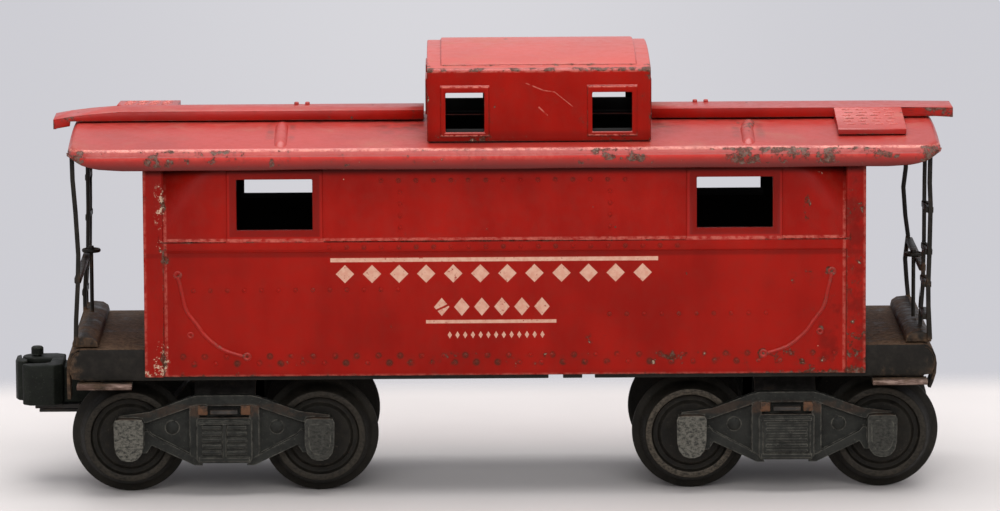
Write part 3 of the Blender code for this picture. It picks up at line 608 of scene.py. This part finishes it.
def chips_roof(s):
    """Rust and scuffs along the turned-down edge, most of them to the right, on the ribs and along the crease."""
    front = s.band(s.z, 69.2, 72.7, 0.5)
    spread = s.ramp(s.noise(0.10, 4, 0.6, shift=(8, 1, 1)), 0.40, 0.60)
    low = s.mul(front, spread, 0.16)
    right = s.mul(s.band(s.x, 44.0, 70.0, 5.0), front, 0.22)
    end = s.mul(s.ramp(s.size(s.x), 82.0, 89.0), front, 0.26)
    middle = s.mul(s.band(s.x, 10.0, 40.0, 8.0), front, 0.08)
    left = s.mul(s.band(s.x, -76.0, -52.0, 6.0), front, 0.15)
    patch = s.mul(s.spots((-20.5, 71.2, 1.6, 1.0), (21.5, 71.0, 1.8, 1.2), (27.5, 70.8, 2.6, 1.3),
                          (-18.0, 70.4, 1.6, 1.0), (79.5, 71.4, 3.5, 1.4), (-72.5, 70.6, 2.6, 2.4)), 0.25)
    ribs = s.mul(s.bands(s.x, 0.2, (-48.4, -47.4), (-44.9, -43.9), (48.4, 49.3)), 0.13)
    bare = s.mul(s.spot(51.0, 75.8, 4.0, 1.1), s.ramp(s.y, -5.0, -9.0), 0.30)
    crease = s.mul(s.band(s.z, 72.3, 72.9, 0.15), 0.10)
    return s.add(low, right, end, middle, left, patch, ribs, bare, crease)


# A pale line along the crease, partly rubbed paint and partly painted highlight, and a pale cloud of scuffs with
# painted highlight over the upper part of the turned-down edge.
def rub_and_highlight_roof(s):
    crease = s.mul(s.band(s.z, 72.45, 72.95, 0.12), 0.9)
    scuffs_and_highlight = s.mul(s.band(s.z, 70.7, 72.3, 0.4), s.ramp(s.noise(0.09, 5, 0.6, shift=(18, 1, 1)), 0.42, 0.60), 0.18)
    return s.most(crease, scuffs_and_highlight)


# The upper part of the turned-down edge of the roof paler: painted highlight.
def highlight_fascia_top(s):
    return s.mul(s.band(s.z, 70.9, 72.2, 0.5), 0.5)


def dirt_and_shade_roof(s):
    """Dirt that lies along the walkway and before the cupola, and painted shade along the flanks of the ribs."""
    aside = s.size(s.y)
    walk = s.mul(s.band(aside, 5.0, 7.4, 0.8), s.ramp(s.noise(0.5, 6, 0.7, shift=(3, 9, 2)), 0.40, 0.60), 0.8)
    foot = s.most(s.band(s.x, -27.0, -15.8, 5.0), s.band(s.x, 30.0, 36.0, 4.0))
    foot = s.mul(foot, s.ramp(aside, 22.0, 12.0), 0.75)
    # Painted shade along the flanks of the ribs.
    ribs = s.bands(s.x, 0.5, (-49.2, -47.6), (-44.6, -43.4), (47.4, 49.0), (52.4, 54.0))
    ribs = s.mul(ribs, s.ramp(aside, 25.0, 18.0), 0.6)
    return s.mul(s.most(walk, foot, ribs), s.ramp(s.z, 72.8, 73.4), 0.8)


# The turned-down edge of the roof darker towards its foot: painted shade.
def shade_fascia_foot(s):
    return s.mul(s.ramp(s.z, 71.0, 69.0), 0.78)


def under_roof(s):
    """Under the crown, inside the turned-down edge, and in the opening under the cupola."""
    within = s.ramp(s.size(s.x), 74.0, 73.0)
    below = s.mul(s.ramp(s.nz, -0.3, -0.6), within, s.ramp(s.size(s.y), 26.2, 25.8))
    inward = s.mul(s.ramp(s.mul(s.ny, s.y), -8.0, -16.0), within, s.ramp(s.size(s.y), 28.9, 28.7))
    opening = s.mul(s.ramp(s.size(s.y), 24.2, 24.0), s.band(s.x, -15.3, 29.7, 0.1))
    return s.most(below, inward, opening)


# The faces that look up get paler copies of the paint than the sides: painted highlight of the light from above, with
# some fading.
red_body = red_enamel("red_enamel_body", chips_body, inside_body, painted_lines, sheen=0.07, rows=dirt_rows,
                      dim_and_shade=dim_and_shade_body, bare=bare_body, rub=rub_and_highlight_body)
red_fascia = red_enamel("red_enamel_fascia", chips_roof, under_roof, sheen=0.3, faded_and_lit=0.08, rub=rub_and_highlight_roof,
                        dim_and_shade=shade_fascia_foot, highlight=highlight_fascia_top)
red_roof = red_enamel("red_enamel_roof", chips_roof, under_roof, dust=0.75, faded_and_lit=0.15, rub=rub_and_highlight_roof, rows=dirt_and_shade_roof)
red_cupola = red_enamel("red_enamel_cupola", chips_cupola, inside_cupola, sheen=0.04, dim_and_shade=dim_and_shade_cupola, rub=rub_and_highlight_cupola)
red_cupola_top = red_enamel("red_enamel_cupola_top", chips_cupola, inside_cupola, dust=0.8, faded_and_lit=0.42)
red_walk = red_enamel("red_enamel_walk", lambda s: s.mul(s.ramp(s.nz, 0.5, -0.2), 0.05), dust=1.1, faded_and_lit=0.14)
red_walk_edge = red_enamel("red_enamel_walk_edge", sheen=0.2,
                           wear=lambda s: s.add(s.mul(s.ramp(s.size(s.x), 84.0, 89.0), 0.20), 0.10))
# The grab irons are paler on their upper sides: painted highlight.
red_iron = red_enamel("red_enamel_iron", lambda s: s.most(s.mul(s.ramp(s.x, 40.0, 60.0), 0.14), 0.09), sheen=0.2,
                      rub=lambda s: s.mul(s.ramp(s.nz, -0.2, 0.6), 0.12))
red_tread = red_enamel("red_enamel_tread", faded_and_lit=0.75)
black_inside = red_enamel("red_enamel_inside", inner=lambda s: s.ramp(s.z, 0.0, 1.0))


def rust_frame(s):
    deck = s.mul(s.ramp(s.nz, 0.5, 0.9), 0.40)
    ends = s.mul(s.ramp(s.size(s.x), 86.0, 90.0), 0.20)
    skirt = s.mul(s.ramp(s.size(s.x), 74.0, 80.0), 0.07)
    return s.add(deck, ends, skirt)


def bright_tread(s):
    return s.mul(s.band(s.size(s.y), 26.4, 28.6, 0.4), s.ramp(s.noise(0.22, 5, 0.6), 0.34, 0.52))


def rust_rail(s):
    return s.add(s.mul(s.ramp(s.z, 34.5, 32.5), 0.34), s.mul(s.band(s.z, 43.0, 46.5, 0.6), 0.16))


def light_boxes(s):
    """The journal boxes, most of all the left one of the left truck and of the right truck."""
    place = s.most(s.ramp(s.x, -72.0, -76.0), s.band(s.x, 22.0, 48.0, 2.0), 0.25)
    return s.mul(s.ramp(s.size(s.y), 23.9, 24.2), place)


def light_rings(s):
    return s.mul(s.ramp(s.size(s.y), 19.30, 19.36), s.add(s.mul(s.band(s.x, 26.0, 51.0, 2.0), 0.65), 0.3))


def rusty_slot(s):
    return s.mul(s.band(s.z, 16.0, 18.6, 0.4), s.ramp(s.size(s.y), 22.2, 22.6))


black_frame = black_enamel("black_enamel_frame", rust_frame)
black_step = black_enamel("black_enamel_step", lambda s: 0.30, tread=bright_tread)
black_rail = black_enamel("black_enamel_rail", rust_rail, amount=0.02)
blued = black_enamel("blued_steel_sheet", lambda s: 0.10, base=(0.022, 0.020, 0.018))
cast_frame = diecast("blackened_diecast_sideframe", light_boxes, pale=(0.110, 0.104, 0.086), rusty=rusty_slot)
cast_wheel = diecast("blackened_diecast_wheel", light_rings, (0.0072, 0.0062, 0.0046), (0.078, 0.064, 0.047), rub=0.3)
cast_coupler = diecast("blackened_diecast_coupler", dark=(0.0052, 0.0062, 0.0045), pale=(0.085, 0.088, 0.070))
steel_axle = steel("bare_steel_axle", 0.7)
steel_pin = steel("bare_steel_pin", 0.9, base=(0.10, 0.095, 0.08))


# ---- body


def body_details():
    """Rivets, the embossed grab irons and their bosses on both sides, and the handles of the end doors."""
    rivets, irons = bmesh.new(), bmesh.new()
    for side in (-1, 1):
        heads = [(x, 66.0 - 2.45 * k) for x in (-21.6, 21.8) for k in range(1, 6)]
        for x0, pitch, count, z, *_ in RIVET_ROWS:
            heads += [(x0 + pitch * k, z) for k in range(count)]
        for x, z in heads:
            if z != LOW_ROW or not 50.5 < abs(x) < 56:  # the feet of the grab irons take those places
                dome(rivets, (x, side * (BELT_FACE if z == BELT_ROW else SIDE_FACE), z), 0.45, 0.34, (0, side, 0))
        for s in (-1, 1):
            curve = [(67.7, 46.3), (67.0, 43.4), (66.0, 39.2), (63.9, 36.2), (62.0, 33.6), (58.6, 30.9), (54.4, 29.4)]
            path = [(s * x, side * 26.02, z) for x, z in curve]
            tube(irons, smooth_path(path, 40), 0.42, 8, 0.95)
            for x, z, big in ((67.7, 46.5, 0.95), (53.5, 29.3, 0.95), (65.2, 33.9, 0.75)):
                boss = [(big, 26.0), (big * 0.92, 26.2), (big * 0.66, 26.3), (big * 0.42, 26.18), (0.16, 26.02),
                        (0.1, 25.9)]
                lathe(irons, [(r, side * y) for r, y in boss], "y", (s * x, 0, z), 20)
    for end in (-1, 1):
        dome(rivets, (end * 74.7, end * -4.9, 47.0), 0.7, 0.35, (end, 0, 0), 4, 14)
        hinges = [(74.7, end * 5.6, z) for z in (34, 44, 58, 64)]
        rows = [(74.28, y, z) for y in range(-20, 21, 4) if abs(y) > 7 for z in (35.0, 66.6)]
        for x, y, z in hinges + rows:
            dome(rivets, (end * x, y, z), 0.4, 0.2, (end, 0, 0))
    from_bmesh("body_rivets", rivets, "car", red_body)
    from_bmesh("body_grab_irons", irons, "car", red_iron)


softened("body_shell", "car", red_body, 0.2)
body_details()


# ---- roof


def wobble(x, y, scale, amount):
    """A dent field, the same on every run."""
    wide = math.sin(x / scale + 1.3 * math.sin(y / scale + 0.7))
    narrow = math.sin(x / (0.47 * scale) + 2.1 + y / (0.8 * scale))
    return amount * (wide + 0.6 * narrow) * 0.5


CROWN_DENTS = 13.0, 0.09
HOLE_X, HOLE_Y = (-13.3, 27.7), 22  # the opening under the cupola


def build_roof():
    """The roof is a sheet of rings, from the foot of its turned-down edge inwards over the crown."""
    length, width, corner = 90.2, ROOF_HALF_WIDTH, 5.0
    outline = []  # (x, y, inward x, inward y)
    for sx, sy, start in ((1, 1, 0), (-1, 1, 90), (-1, -1, 180), (1, -1, 270)):
        cx, cy = sx * (length - corner), sy * (width - corner)
        for i in range(13):
            a = math.radians(start + 90 * i / 12)
            outline.append((cx + corner * math.cos(a), cy + corner * math.sin(a), -math.cos(a), -math.sin(a)))
        nx, ny = {0: (-1, 0), 90: (0, -1), 180: (1, 0), 270: (0, 1)}[start]
        run = 2 * (length - corner) if nx else 2 * (width - corner)
        a = math.radians(start + 90)
        ex, ey = cx + corner * math.cos(a), cy + corner * math.sin(a)
        steps = int(run / 1.6)
        for k in range(1, steps):
            t = k / steps * run
            outline.append((ex + nx * t, ey + ny * t, -math.cos(a), -math.sin(a)))

    def bottom(x):
        return float(np.interp(abs(x), [0, 79.0, 84.2, 87.2, 89.0, 90.2], [68.7, 68.7, 69.0, 69.8, 70.7, 71.3]))

    # Distance in from the edge, drop under the crown (none for the points that follow the foot), and lift off the foot.
    section = [(0.12, None, 0), (0.0, None, 0.28), (0.0, None, 1.0), (0.0, -2.0, 0), (0.03, -1.45, 0),
               (0.14, -1.14, 0), (0.30, -0.90, 0), (0.66, -0.42, 0), (0.82, -0.24, 0), (1.02, -0.10, 0),
               (1.30, -0.02, 0), (1.9, 0.0, 0)]
    inward = [2.8, 4.0, 5.6, 7.5, 9.5, 12.0, 14.5, 17.0, 19.5, 22.0, 24.5, 27.0, 28.9]
    work, rows = bmesh.new(), []
    for d, drop, lift in section + [(d, 0.0, 0) for d in inward]:
        row = []
        for x, y, ix, iy in outline:
            if d <= corner:
                px, py = x + ix * d, y + iy * d
            else:
                px = math.copysign(min(abs(x + ix * d), length - d), x)
                py = math.copysign(min(abs(y + iy * d), width - d), y)
                if abs(ix) < 1e-6:
                    px = math.copysign(min(abs(x), length - d), x)
                if abs(iy) < 1e-6:
                    py = math.copysign(min(abs(y), width - d), y)
            edge = roof_z(min(abs(py) + 0.2, width))
            if drop is None:
                z = min(bottom(x) + lift, edge - 2.2) + wobble(x, y, 9.0, 0.10) * (1 if lift < 0.5 else 0.4)
            else:
                z = edge + drop + wobble(px, py, CROWN_DENTS[0], CROWN_DENTS[1] if d > 1 else 0.05)
            row.append(work.verts.new(((px + CX) * MM, py * MM, (z + CZ) * MM)))
        rows.append(row)
    count = len(outline)
    for first, second in zip(rows, rows[1:]):
        for k in range(count):
            work.faces.new((first[k], first[(k + 1) % count], second[(k + 1) % count], second[k]))
    bmesh.ops.remove_doubles(work, verts=work.verts, dist=0.02 * MM)
    rim = [e for e in work.edges if e.is_boundary and all(abs(v.co.y) < 0.2 * MM for v in e.verts)]
    bmesh.ops.contextual_create(work, geom=rim)
    cuts = [((x + CX, 0, 0), (1, 0, 0)) for x in HOLE_X] + [((0, y, 0), (0, 1, 0)) for y in (-HOLE_Y, HOLE_Y)]
    for at, across in cuts:
        bmesh.ops.bisect_plane(work, geom=work.verts[:] + work.edges[:] + work.faces[:], plane_co=[c * MM for c in at],
                               plane_no=across, dist=1e-7)

    def in_hole(face):
        x, y, _ = face.calc_center_median() / MM
        return HOLE_X[0] < x - CX < HOLE_X[1] and abs(y) < HOLE_Y

    bmesh.ops.delete(work, geom=[f for f in work.faces if in_hole(f)], context="FACES")
    bmesh.ops.triangulate(work, faces=[f for f in work.faces if len(f.verts) > 4])
    bmesh.ops.recalc_face_normals(work, faces=work.faces)
    top = max(work.faces, key=lambda f: f.calc_center_median().z)
    if top.normal.z < 0:
        bmesh.ops.reverse_faces(work, faces=work.faces)
    roof = from_bmesh("roof_skin", work, "car", red_fascia, ("roof",), 50, red_roof, closed=False)
    shell = roof.modifiers.new("sheet", "SOLIDIFY")
    shell.thickness, shell.offset = 0.6 * MM, -1

    ribs = bmesh.new()
    for x, lean in ((-46.2, 0.0), (50.5, 0.9)):
        for side in (-1, 1):
            points = []
            for i in range(25):
                y = 7.0 + 19.8 * i / 24
                fade = math.sin(min(1.0, i / 3, (24 - i) / 2.0) * math.pi / 2)
                shift = lean * (1 - i / 10) if i < 10 else 0.0
                half = 1.35 * (0.55 + 0.45 * fade)
                for k in range(9):
                    t = -1 + k / 4
                    h = 0.80 * fade * (math.cos(t * math.pi / 2) ** 0.7 if abs(t) < 1 else 0.0) - 0.04
                    points.append((x + shift + half * t, side * y, roof_z(y) + wobble(x, side * y, *CROWN_DENTS) + h))
            put(ribs, points, grid_faces(25, 9))
    bmesh.ops.recalc_face_normals(ribs, faces=ribs.faces)
    if sum(f.normal.z for f in ribs.faces) < 0:
        bmesh.ops.reverse_faces(ribs, faces=ribs.faces)
    from_bmesh("roof_ribs", ribs, "car", red_roof, closed=False)


build_roof()


# ---- cupola and walkways


softened("cupola", "car", red_cupola, 0.26, 3, top=red_cupola_top)


def folded_lips():
    """The flange inside the foot of the cupola, and the folded sills inside the far windows."""
    work = bmesh.new()
    for side in (-1, 1):
        rounded_box(work, (-15.2, 29.6), (side * 24.35, side * 24.05), (73.2, 76.4), 0.1)
    for x in (-15.1, 29.2):
        rounded_box(work, (x, x + 0.3), (-24.0, 24.0), (73.3, 76.6), 0.1)
    for ends in ((-12.7, -3.6), (17.7, 27.0)):
        rounded_box(work, ends, (24.5, 24.3), (75.2, 76.5), 0.08)
    for ends, z in (((-56.0, -39.2), 56.1), ((39.2, 56.0), 56.6)):
        rounded_box(work, ends, (25.6, 25.2), (55.0, z), 0.12)
    from_bmesh("folded_lips", work, "car", black_inside)


folded_lips()


def walk_details():
    """The folded tabs of the walkways and the raised treads of their side platforms."""
    tabs, treads = bmesh.new(), bmesh.new()
    for x in (-43.5, -41.2, 40.5, 42.8):
        rounded_box(tabs, (x - 0.5, x + 0.5), (4.3, 5.2), (77.7, 78.45), 0.25)
    for x0, x1, side, drop, sink in ((-80.2, -69.8, 1, 1.1, 0.04), (70.4, 82.1, -1, 2.2, 0.0)):
        for i in range(6):
            y = side * (7.2 + 2.2 * i)
            z = 77.9 - drop * (abs(y) - 5.0) / 15.9 - sink
            for k in range(4):
                a = x0 + (x1 - x0) * (k + (0.25 if i % 2 else 0.05)) / 4
                path = [(a + run, y, z + rise) for run, rise in ((0, -0.1), (0.2, 0.04), (1.6, 0.04), (1.8, -0.1))]
                tube(treads, path, 0.13, 6)
    from_bmesh("roofwalk_tabs", tabs, "car", red_walk)
    from_bmesh("roofwalk_treads", treads, "car", red_tread)


for which in ("left", "right"):
    softened(f"roofwalk_{which}", "car", red_walk_edge, 0.02, 1, top=red_walk)
walk_details()


# ---- frame, steps, railings


softened("frame", "car", black_frame, 0.14)
for where in ("left", "right"):
    for which in ("near", "far"):
        softened(f"step_{where}_{which}", "car", black_step, 0.14)
    softened(f"railing_{where}", "car", black_rail, 0.17)


def brake_wheel(name, x, y):
    work = bmesh.new()
    staff = [(0.0, 33.6), (0.42, 33.6), (0.42, 46.4), (0.62, 46.5), (0.7, 47.2), (0.5, 47.8), (0.0, 47.9)]
    lathe(work, staff, "z", (x, y, 0), 20, closed=False)
    rim = 46.85
    turns = [math.radians(a) for a in range(0, 360, 36)]
    lathe(work, [(1.72 + 0.3 * math.cos(a), rim + 0.38 * math.sin(a)) for a in turns], "z", (x, y, 0), 40)
    for k in range(4):
        a = math.pi / 4 + math.pi / 2 * k
        tube(work, [(x + r * math.cos(a), y + r * math.sin(a), rim) for r in (0.3, 1.0, 1.7)], 0.17, 6)
    from_bmesh(name + "_skin", work, "car", black_rail, (name,))


brake_wheel("brake_wheel_left", -87.3, 6.2)
brake_wheel("brake_wheel_right", 86.0, -6.2)


def folded_tabs():
    """The ends of the body's tabs, bent over under the floor."""
    work = bmesh.new()
    under = (29.45, 30.05)
    for x in (-66, -34, 30, 66):
        for side in (-1, 1):
            rounded_box(work, (x - 2.2, x + 2.2), (side * 20.6, side * 23.6), under, 0.2)
    for end in (-1, 1):
        for y in (-12, 12):
            rounded_box(work, (end * 68.4, end * 71.6), (y - 2, y + 2), under, 0.2)
        # The apron and the skirt meet in a fold at each corner.
        fold = [(86.0, 25.2), (89.6, 25.4), (89.95, 26.6), (89.8, 28.1), (89.1, 29.4), (88.2, 30.1), (86.0, 30.3)]
        for side in (-1, 1):
            plate(work, [(end * x + FRAME_X, z) for x, z in fold], side * 23.8, side * 24.7, 0.06, 1)
    from_bmesh("frame_tabs", work, "car", black_frame)


folded_tabs()


# ---- trucks


PIVOT, HALF_BASE = 58.55, 19.85  # the trucks' pivots, and the axles to both sides of one


def sideframe(name, body, pivot, side):
    """A cast sideframe: a recessed web behind arch bars, a spring block, a slot with prongs, and two journal boxes."""
    work = bmesh.new()

    def both(points):
        """Mirrors a half outline, given from the middle outwards and back."""
        return points + [(-x, z) for x, z in points[::-1]]

    def cast(outline, y0, y1, soften, segments=2):
        plate(work, [(pivot + x, z) for x, z in outline], side * y0, side * y1, soften, segments)

    def block(x0, x1, y0, y1, z0, z1, radius):
        rounded_box(work, (pivot + x0, pivot + x1), (side * y0, side * y1), (z0, z1), radius)

    cast(both([(0, 20.0), (7.4, 19.6), (15.4, 16.7), (19.6, 16.0), (19.6, 9.0), (15.2, 10.0), (6.2, 6.2), (0, 6.2)]),
         20.5, 21.15, 0.1, 1)
    cast(both([(0.01, 20.5), (5.6, 20.5), (7.6, 20.0), (15.6, 17.1), (21.9, 16.3), (21.9, 14.4), (16.0, 14.9),
               (7.4, 17.9), (5.4, 18.3), (0.01, 18.3)]), 20.5, 22.3, 0.3)
    low = [(20.6, 11.6), (16.0, 13.2), (15.2, 12.2), (7.0, 7.9), (5.4, 7.2), (4.6, 5.7), (6.2, 5.7), (15.2, 10.0),
           (16.2, 8.4), (20.6, 8.2)]
    post = [(5.2, 18.6), (7.2, 18.2), (7.2, 7.9), (5.2, 6.9)]
    lid = both([(0.6, 7.0), (1.7, 7.4), (2.6, 8.5), (3.0, 10.2), (3.1, 15.0), (2.75, 15.75), (1.6, 15.9)])
    for sign in (-1, 1):
        cast([(sign * x, z) for x, z in low], 20.5, 22.2, 0.28)
        cast([(sign * x, z) for x, z in post], 20.5, 22.35, 0.25)
        box = sign * HALF_BASE
        cast([(box + x, z) for x, z in lid], 21.2, 24.5, 0.55, 3)
        cast([(box + x * 0.72, 11.5 + (z - 11.5) * 0.72) for x, z in lid], 24.2, 24.62, 0.15)
        dome(work, (pivot + sign * 10.9, side * 21.1, 13.6), 1.5, 0.7, (0, side, 0), 4, 16)
        for k in range(5 if pivot < 0 else 0):
            z = 8.1 + 1.35 * k
            block(sign * 0.55, sign * 4.6, 22.8, 23.45, z, z + 0.8, 0.22)
        block(sign * 3.4, sign * 5.5, 22.0, 22.95, 16.4, 18.5, 0.3)
    cast(both([(0.01, 15.9), (5.4, 15.9), (5.7, 15.2), (5.7, 7.0), (5.2, 6.3), (0.01, 6.3)]), 20.6, 22.9, 0.3)
    for z0, z1 in ((14.6, 15.2), (6.7, 7.5)):
        cast(both([(0.01, z1), (5.2, z1), (5.2, z0), (0.01, z0)]), 22.6, 23.6, 0.2)
    if pivot < 0:
        block(-0.35, 0.35, 22.6, 23.4, 7.2, 15.0, 0.15)
    else:
        block(-4.9, 4.9, 22.7, 23.15, 7.0, 15.0, 0.2)
        for k in range(6):
            block(-4.3, 4.3, 23.0, 23.28, 7.9 + 1.15 * k, 8.4 + 1.15 * k, 0.12)
    from_bmesh(name + "_skin", work, body, cast_frame, (name,), 32)


def wheel(name, x, side):
    """Half a turned section, from the bore over the flange and the tread to the hub, as (radius, distance from the
    middle of the car)."""
    profile = [(1.64, 14.2), (11.1, 14.2), (11.7, 14.3), (12.08, 14.6), (12.2, 14.95), (12.12, 15.3), (11.7, 15.6),
               (11.05, 15.83), (10.65, 16.2), (10.45, 16.7), (9.72, 18.8), (9.6, 19.1), (9.38, 19.34), (9.15, 19.4),
               (8.4, 19.4), (8.2, 19.33), (8.08, 19.1), (8.0, 18.6), (7.8, 18.3), (7.4, 18.2), (6.95, 18.25),
               (6.72, 18.5), (6.5, 18.95), (6.25, 19.14), (5.8, 19.17), (4.0, 19.0), (3.2, 19.1), (2.9, 19.2),
               (1.64, 19.2)]
    axle_height = 11.3
    work = bmesh.new()
    lathe(work, [(r, side * y) for r, y in profile], "y", (x, 0, axle_height), 96)
    from_bmesh(name + "_skin", work, name + "_body", cast_wheel, (name,), 28)


for sign, where in ((-1, "left"), (1, "right")):
    pivot = sign * PIVOT
    for side, which in ((-1, "near"), (1, "far")):
        sideframe(f"sideframe_{where}_{which}", f"truck_{where}", pivot, side)
        for place in ("outer", "inner"):
            x = pivot + (sign if place == "outer" else -sign) * HALF_BASE
            wheel(f"wheel_{where}_{place}_{which}", x, side)


# ---- coupler


softened("coupler_head", "truck_left", cast_coupler, 0.35, 3)
softened("coupler_knuckle", "knuckle", cast_coupler, 0.3, 3)
LOOKS = (("axle", steel_axle), ("coupler_pin", cast_coupler), ("king", steel_pin), ("coupler_button", steel_pin),
         ("bracket", black_frame))
for node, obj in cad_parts.items():
    if not obj.hide_render:
        obj.data.materials.clear()
        obj.data.materials.append(next((look for start, look in LOOKS if node.startswith(start)), blued))


# ---- floor, light, camera


def floor_material():
    s = Shade("floor_paper")
    grain = s.noise(0.02, 4, 0.5)
    s.finish(s.mix(s.ramp(grain, 0.3, 0.7), (0.560, 0.528, 0.507), (0.582, 0.548, 0.528)), 0.62)
    clear = s.new("ShaderNodeBsdfTransparent").outputs[0]
    both = s.new("ShaderNodeMixShader", {0: s.ramp(s.y, 92.0, 125.0), 1: s.bsdf.outputs[0], 2: clear})
    s.feed(s.out.inputs["Surface"], both.outputs[0])
    return s.material


work = bmesh.new()
corners = ((-900, -900), (900, -900), (900, 126), (-900, 126))
put(work, [(x - CX, y, -CZ) for x, y in corners], [(0, 1, 2, 3)])
mesh = bpy.data.meshes.new("floor")
work.to_mesh(mesh)
work.free()
mesh.materials.append(floor_material())
floor = bpy.data.objects.new("floor", mesh)
bpy.context.scene.collection.objects.link(floor)

world = bpy.data.worlds.new("studio")
bpy.context.scene.world = world
world.use_nodes = True
sky = world.node_tree
spread = sky.nodes.new("ShaderNodeTexCoord")
away = sky.nodes.new("ShaderNodeVectorMath")
away.operation = "DISTANCE"
sky.links.new(spread.outputs["Generated"], away.inputs[0])
away.inputs[1].default_value = (0.0, 0.9935, -0.114)
glow = sky.nodes.new("ShaderNodeMapRange")
glow.interpolation_type = "SMOOTHSTEP"
sky.links.new(away.outputs["Value"], glow.inputs["Value"])
glow.inputs["From Min"].default_value, glow.inputs["From Max"].default_value = 0.075, 0.0
both = sky.nodes.new("ShaderNodeMix")
both.data_type = "RGBA"
sky.links.new(glow.outputs[0], both.inputs[0])
both.inputs[6].default_value = (0.615, 0.612, 0.652, 1)
both.inputs[7].default_value = (0.685, 0.680, 0.715, 1)
sky.links.new(both.outputs[2], sky.nodes["Background"].inputs["Color"])
sky.nodes["Background"].inputs["Strength"].default_value = 1.0


def softbox(name, place, target, size, power):
    light = bpy.data.lights.new(name, "AREA")
    light.shape = "RECTANGLE"
    light.size, light.size_y = size
    light.energy = power
    obj = bpy.data.objects.new(name, light)
    obj.location = place
    obj.rotation_mode = "QUATERNION"
    obj.rotation_quaternion = (Vector(target) - Vector(place)).to_track_quat("-Z", "Y")
    bpy.context.scene.collection.objects.link(obj)


softbox("softbox_top", (0.02, 0.01, 0.85), (0, 0, 0.05), (1.0, 0.65), 9.2)
softbox("softbox_front", (0.0, -1.3, 0.74), (0, 0, 0.02), (1.5, 0.6), 9.2)

camera_data = bpy.data.cameras.new("camera")
camera_data.sensor_width = 36.0
camera_data.lens = 230.4
camera_data.clip_start, camera_data.clip_end = 0.05, 20.0
camera = bpy.data.objects.new("camera", camera_data)
bpy.context.scene.collection.objects.link(camera)
pitch, yaw, roll = math.radians(8.9), math.radians(0.45), math.radians(-0.3)
ahead = Vector((math.sin(yaw) * math.cos(pitch), math.cos(yaw) * math.cos(pitch), -math.sin(pitch)))
right = Vector((math.cos(yaw), -math.sin(yaw), 0))
up = right.cross(ahead)
right, up = (math.cos(roll) * right + math.sin(roll) * up, -math.sin(roll) * right + math.cos(roll) * up)
turn = Matrix((right, up, -ahead)).transposed()
camera.matrix_world = Matrix.Translation((-0.00673, -1.33364, 0.25496 + CZ * MM)) @ turn.to_4x4()
bpy.context.scene.camera = camera
bpy.context.scene.view_settings.view_transform = "Standard"
